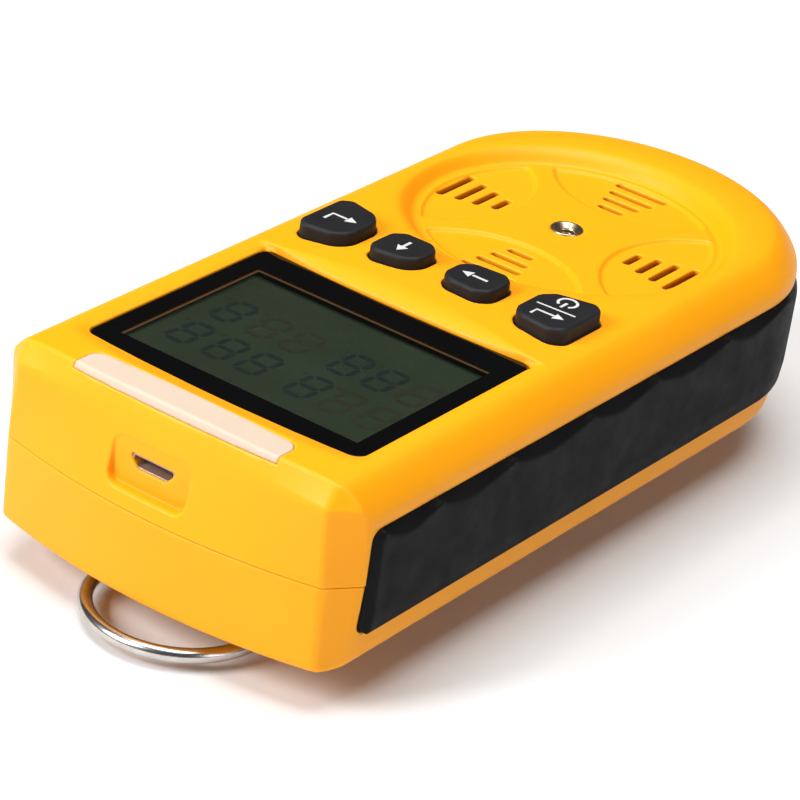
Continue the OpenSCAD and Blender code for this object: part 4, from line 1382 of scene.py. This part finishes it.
KEY_MARKS = {
    "power": [stroke(arc(-20.3, -0.75, 1.5, 125, 415, 32), 0.45),
              stroke([(-20.3, -0.6), (-20.3, 1.25)], 0.45),
              stroke([(-23.7, 2.2), (-16.9, 2.6)], 0.34),
              stroke([(-18.3, 6.3), (-18.3, 4.6), (-21.4, 4.5)], 0.45),
              arrowhead(-22.0, 4.48, 1.1, 182)],
    "move": [stroke([(-7.9, 2.9), (-5.1, 2.9)], 0.5), arrowhead(-4.3, 2.9, 1.15, 0)],
    "up": [stroke([(7.9, 1.2), (7.9, 3.3)], 0.5), arrowhead(7.9, 3.9, 1.15, 90)],
    "enter": [stroke([(22.2, 4.8), (22.2, 2.4), (19.5, 2.4)], 0.5),
              arrowhead(18.8, 2.4, 1.15, 180)],
}
for key, marks in KEY_MARKS.items():
    raised(key + "_symbol", marks, KEY_TOP, 0.035, "white_ink", f"key_{key}_body")


# ---------------------------------------------------------------- brass insert with a real thread form
# Outside of the insert from its foot up and over the countersink: radius, height
INSERT_PTS = [(2.65, 0.0), (2.65, 2.4), (2.35, 2.6), (2.35, 3.4), (2.65, 3.6), (2.65, 5.95),
              (2.55, 6.05), (2.2, 6.05), (2.1, 6.0), (1.62, 5.35)]
THREAD_ROWS = 44
THREAD_TOP = 5.15
THREAD_PITCH = 0.5
BORE_R = 1.4         # marks the profile points that the thread form replaces
THREAD_R = 1.25      # smallest radius of the thread
THREAD_DEPTH = 0.24


def thread_radius(r, h, angle):
    if abs(r - BORE_R) >= 1e-6:
        return r
    phase = (h / THREAD_PITCH - angle / (2 * math.pi)) % 1.0
    fade = min(1.0, h / 0.3, (THREAD_TOP - h) / 0.2 + 0.15)
    return THREAD_R + THREAD_DEPTH * (0.5 - abs(phase - 0.5)) * 2 * max(fade, 0)


bore = [(BORE_R, THREAD_TOP - THREAD_TOP * k / THREAD_ROWS) for k in range(THREAD_ROWS + 1)]
insert = lathe("thread_insert", (INSERT_PTS + bore)[::-1], (DISH_X, DISH_Y, 22.5),
               "insert_brass", turns=64, radius_at=thread_radius)
stand_in(insert, "case", "threaded_insert")


# ---------------------------------------------------------------- charging socket: folded steel shell with a tongue
def socket_outline(grow):
    w, h = 3.84 + grow, 1.1 + grow
    pts = [(-w, h), (-w, -0.15), (-w + 0.95, -h), (w - 0.95, -h), (w, -0.15), (w, h)]
    return round_outline(pts, 0.28)


def build_socket():
    back_y, mouth_y, floor_y = 63.6, 69.66, 64.2
    outer, inner = socket_outline(0.0), socket_outline(-0.28)
    n = len(outer)
    verts = [(USB_X + x, y, USB_Z + 0.24 + z)
             for pts, y in ((outer, back_y), (outer, mouth_y), (inner, mouth_y), (inner, floor_y))
             for x, z in pts]
    faces = []
    for k in range(3):
        for a in range(n):
            b = (a + 1) % n
            faces.append((k * n + b, k * n + a, (k + 1) * n + a, (k + 1) * n + b))
    faces += [tuple(range(n)), tuple(reversed(range(3 * n, 4 * n)))]
    mat_index = [0] * (len(faces) - 1) + [1]      # only the floor is dark
    shell = mesh_object("socket_shell", verts, faces, ["socket_steel", "dark_plastic"], mat_index)
    add_bevel(shell, 0.06, segments=2, angle=40)
    stand_in(shell, "case", "usb_socket")


build_socket()
TONGUE_TOP = USB_Z + 0.62
tongue = slab("socket_tongue", rectangle(USB_X - 1.9, USB_X + 1.9, 64.1, 67.6),
              USB_Z + 0.15, TONGUE_TOP, "dark_plastic")
add_bevel(tongue, 0.12, segments=3)
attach(tongue, "case")
CONTACT_PITCH, CONTACT_HALF = 0.65, 0.13
contacts = []
for k in range(5):
    x = USB_X + CONTACT_PITCH * (k - 2)
    contacts.append(face_of(rectangle(x - CONTACT_HALF, x + CONTACT_HALF, 64.2, 67.2)))
raised("socket_contacts", contacts, TONGUE_TOP, 0.05, "gold_contact", "case")


# ---------------------------------------------------------------- ring
ring = lathe("key_ring", circle(RING_R, 0, RING_WIRE_R, 32), (0.0, RING_LOW_Y + RING_R, -4.1),
             "ring_chrome", turns=160)
stand_in(ring, "hanging_ring_body", "hanging_ring")


# ---------------------------------------------------------------- torsion spring
def build_spring():
    """Wire swept round five and a half coils between two straight legs."""
    x0, x1 = -3.2, 3.2
    pivot_y, pivot_z = 20.0, -4.0
    coil_r, wire_r = 1.85, 0.38
    leg_z = -5.0
    coil_steps, sides = 176, 14
    path = [(x0, 29.0, -1.68), (x0, 27.0, -1.715), (x0, 25.0, -1.75)]
    for i in range(coil_steps + 1):
        t = math.radians(90 - 5.5 * 360 * i / coil_steps)      # five and a half turns
        path.append((x0 + (x1 - x0) * i / coil_steps,
                     pivot_y + coil_r * math.cos(t), pivot_z + coil_r * math.sin(t)))
    path += [(x1, y, leg_z) for y in (25.6, 27.3, 29.0)]
    P = np.array(path, float)
    verts, faces = [], []
    for i in range(len(P)):
        d = P[min(i + 1, len(P) - 1)] - P[max(i - 1, 0)]
        d /= np.linalg.norm(d)
        u = np.cross(d, (1, 0.13, 0.05))
        u /= np.linalg.norm(u)
        v = np.cross(d, u)
        for j in range(sides):
            a = 2 * math.pi * j / sides
            verts.append(tuple(P[i] + wire_r * (math.cos(a) * u + math.sin(a) * v)))
    for i in range(len(P) - 1):
        for j in range(sides):
            a, b = i * sides + j, i * sides + (j + 1) % sides
            faces.append((a, b, b + sides, a + sides))
    faces.append(tuple(reversed(range(sides))))
    faces.append(tuple((len(P) - 1) * sides + j for j in range(sides)))
    spring = mesh_object("clip_torsion_spring", verts, faces, ["spring_wire"], smooth=True)
    start, end = place((x0, pivot_y, pivot_z)), place((x1, pivot_y, pivot_z))
    Vector(start)
    Vector(end)
    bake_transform(spring)
    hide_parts("clip_spring")


build_spring()


# ---------------------------------------------------------------- camera
CAMERA_AT = (-280.4951, 442.1281, 281.0161)
# degrees
CAMERA_AZIMUTH, CAMERA_ELEVATION, CAMERA_ROLL = 213.0146, 27.5963, 7.8216
SENSOR_WIDTH, FOCAL_LENGTH = 36.0, 169.7627925


def make_camera():
    azimuth, elevation, roll = (math.radians(a) for a in
                                (CAMERA_AZIMUTH, CAMERA_ELEVATION, CAMERA_ROLL))
    away = Vector((math.sin(azimuth) * math.cos(elevation),
                   -math.cos(azimuth) * math.cos(elevation), math.sin(elevation)))
    level = Vector((0, 0, 1)).cross(away).normalized()
    upright = away.cross(level)
    right = level * math.cos(roll) + upright * math.sin(roll)
    up = -level * math.sin(roll) + upright * math.cos(roll)
    cam = bpy.data.cameras.new("camera")
    cam.sensor_width = SENSOR_WIDTH
    cam.lens = FOCAL_LENGTH
    cam.clip_start, cam.clip_end = 0.01, 10
    ob = add_object("camera", cam)
    matrix = Matrix((right, up, away)).transposed().to_4x4()
    matrix.translation = Vector(place(CAMERA_AT))
    ob.matrix_world = matrix
    bpy.context.scene.camera = ob


make_camera()


# ---------------------------------------------------------------- floor and studio light, in frame metres
FLOOR_HALF = 6.0
WORLD_STRENGTH = 0.045
LIGHT_TARGET = (0, 0, 0.015)
# Square lamps: name, place, side, power in watts
LIGHTS = [
    ("key", (0.55, 0.95, 0.75), 0.6, 19.5),      # beyond the port end, towards positive x
    ("top", (0.0, 0.0, 1.2), 0.9, 17.4),         # straight above
    ("fill", (-1.2, 0.2, 0.5), 0.6, 3.1),        # weak, from negative x
]


def make_floor():
    me = bpy.data.meshes.new("floor")
    corners = rectangle(-FLOOR_HALF, FLOOR_HALF, -FLOOR_HALF, FLOOR_HALF)
    me.from_pydata([(x, y, 0) for x, y in corners], [], [(0, 1, 2, 3)])
    floor = add_object("floor", me)
    m = Material("floor_paper")
    m.feed(Base_Color=m.drift(grey(0.74), grey(0.77), scale=0.01),
           Roughness=m.ramp(m.noise(scale=0.5), to=(0.75, 0.9), span=(0, 1)))
    m.set(Specular_IOR_Level=0.1)
    me.materials.append(m.mat)


def make_world():
    world = bpy.data.worlds.new("studio")
    bpy.context.scene.world = world
    world.use_nodes = True
    background = world.node_tree.nodes["Background"]
    background.inputs["Color"].default_value = (1, 1, 1, 1)
    background.inputs["Strength"].default_value = WORLD_STRENGTH


def make_light(name, at, side, power):
    light = bpy.data.lights.new(name, "AREA")
    light.shape = "RECTANGLE"
    light.size = light.size_y = side
    light.energy = power
    ob = add_object(name, light)
    ob.location = at
    aim = Vector(LIGHT_TARGET) - Vector(at)
    ob.rotation_euler = aim.to_track_quat("-Z", "Y").to_euler()


make_floor()
make_world()
for lamp in LIGHTS:
    make_light(*lamp)
view = bpy.context.scene.view_settings
view.view_transform = "Standard"
view.look = "None"
view.exposure = 0
view.gamma = 1
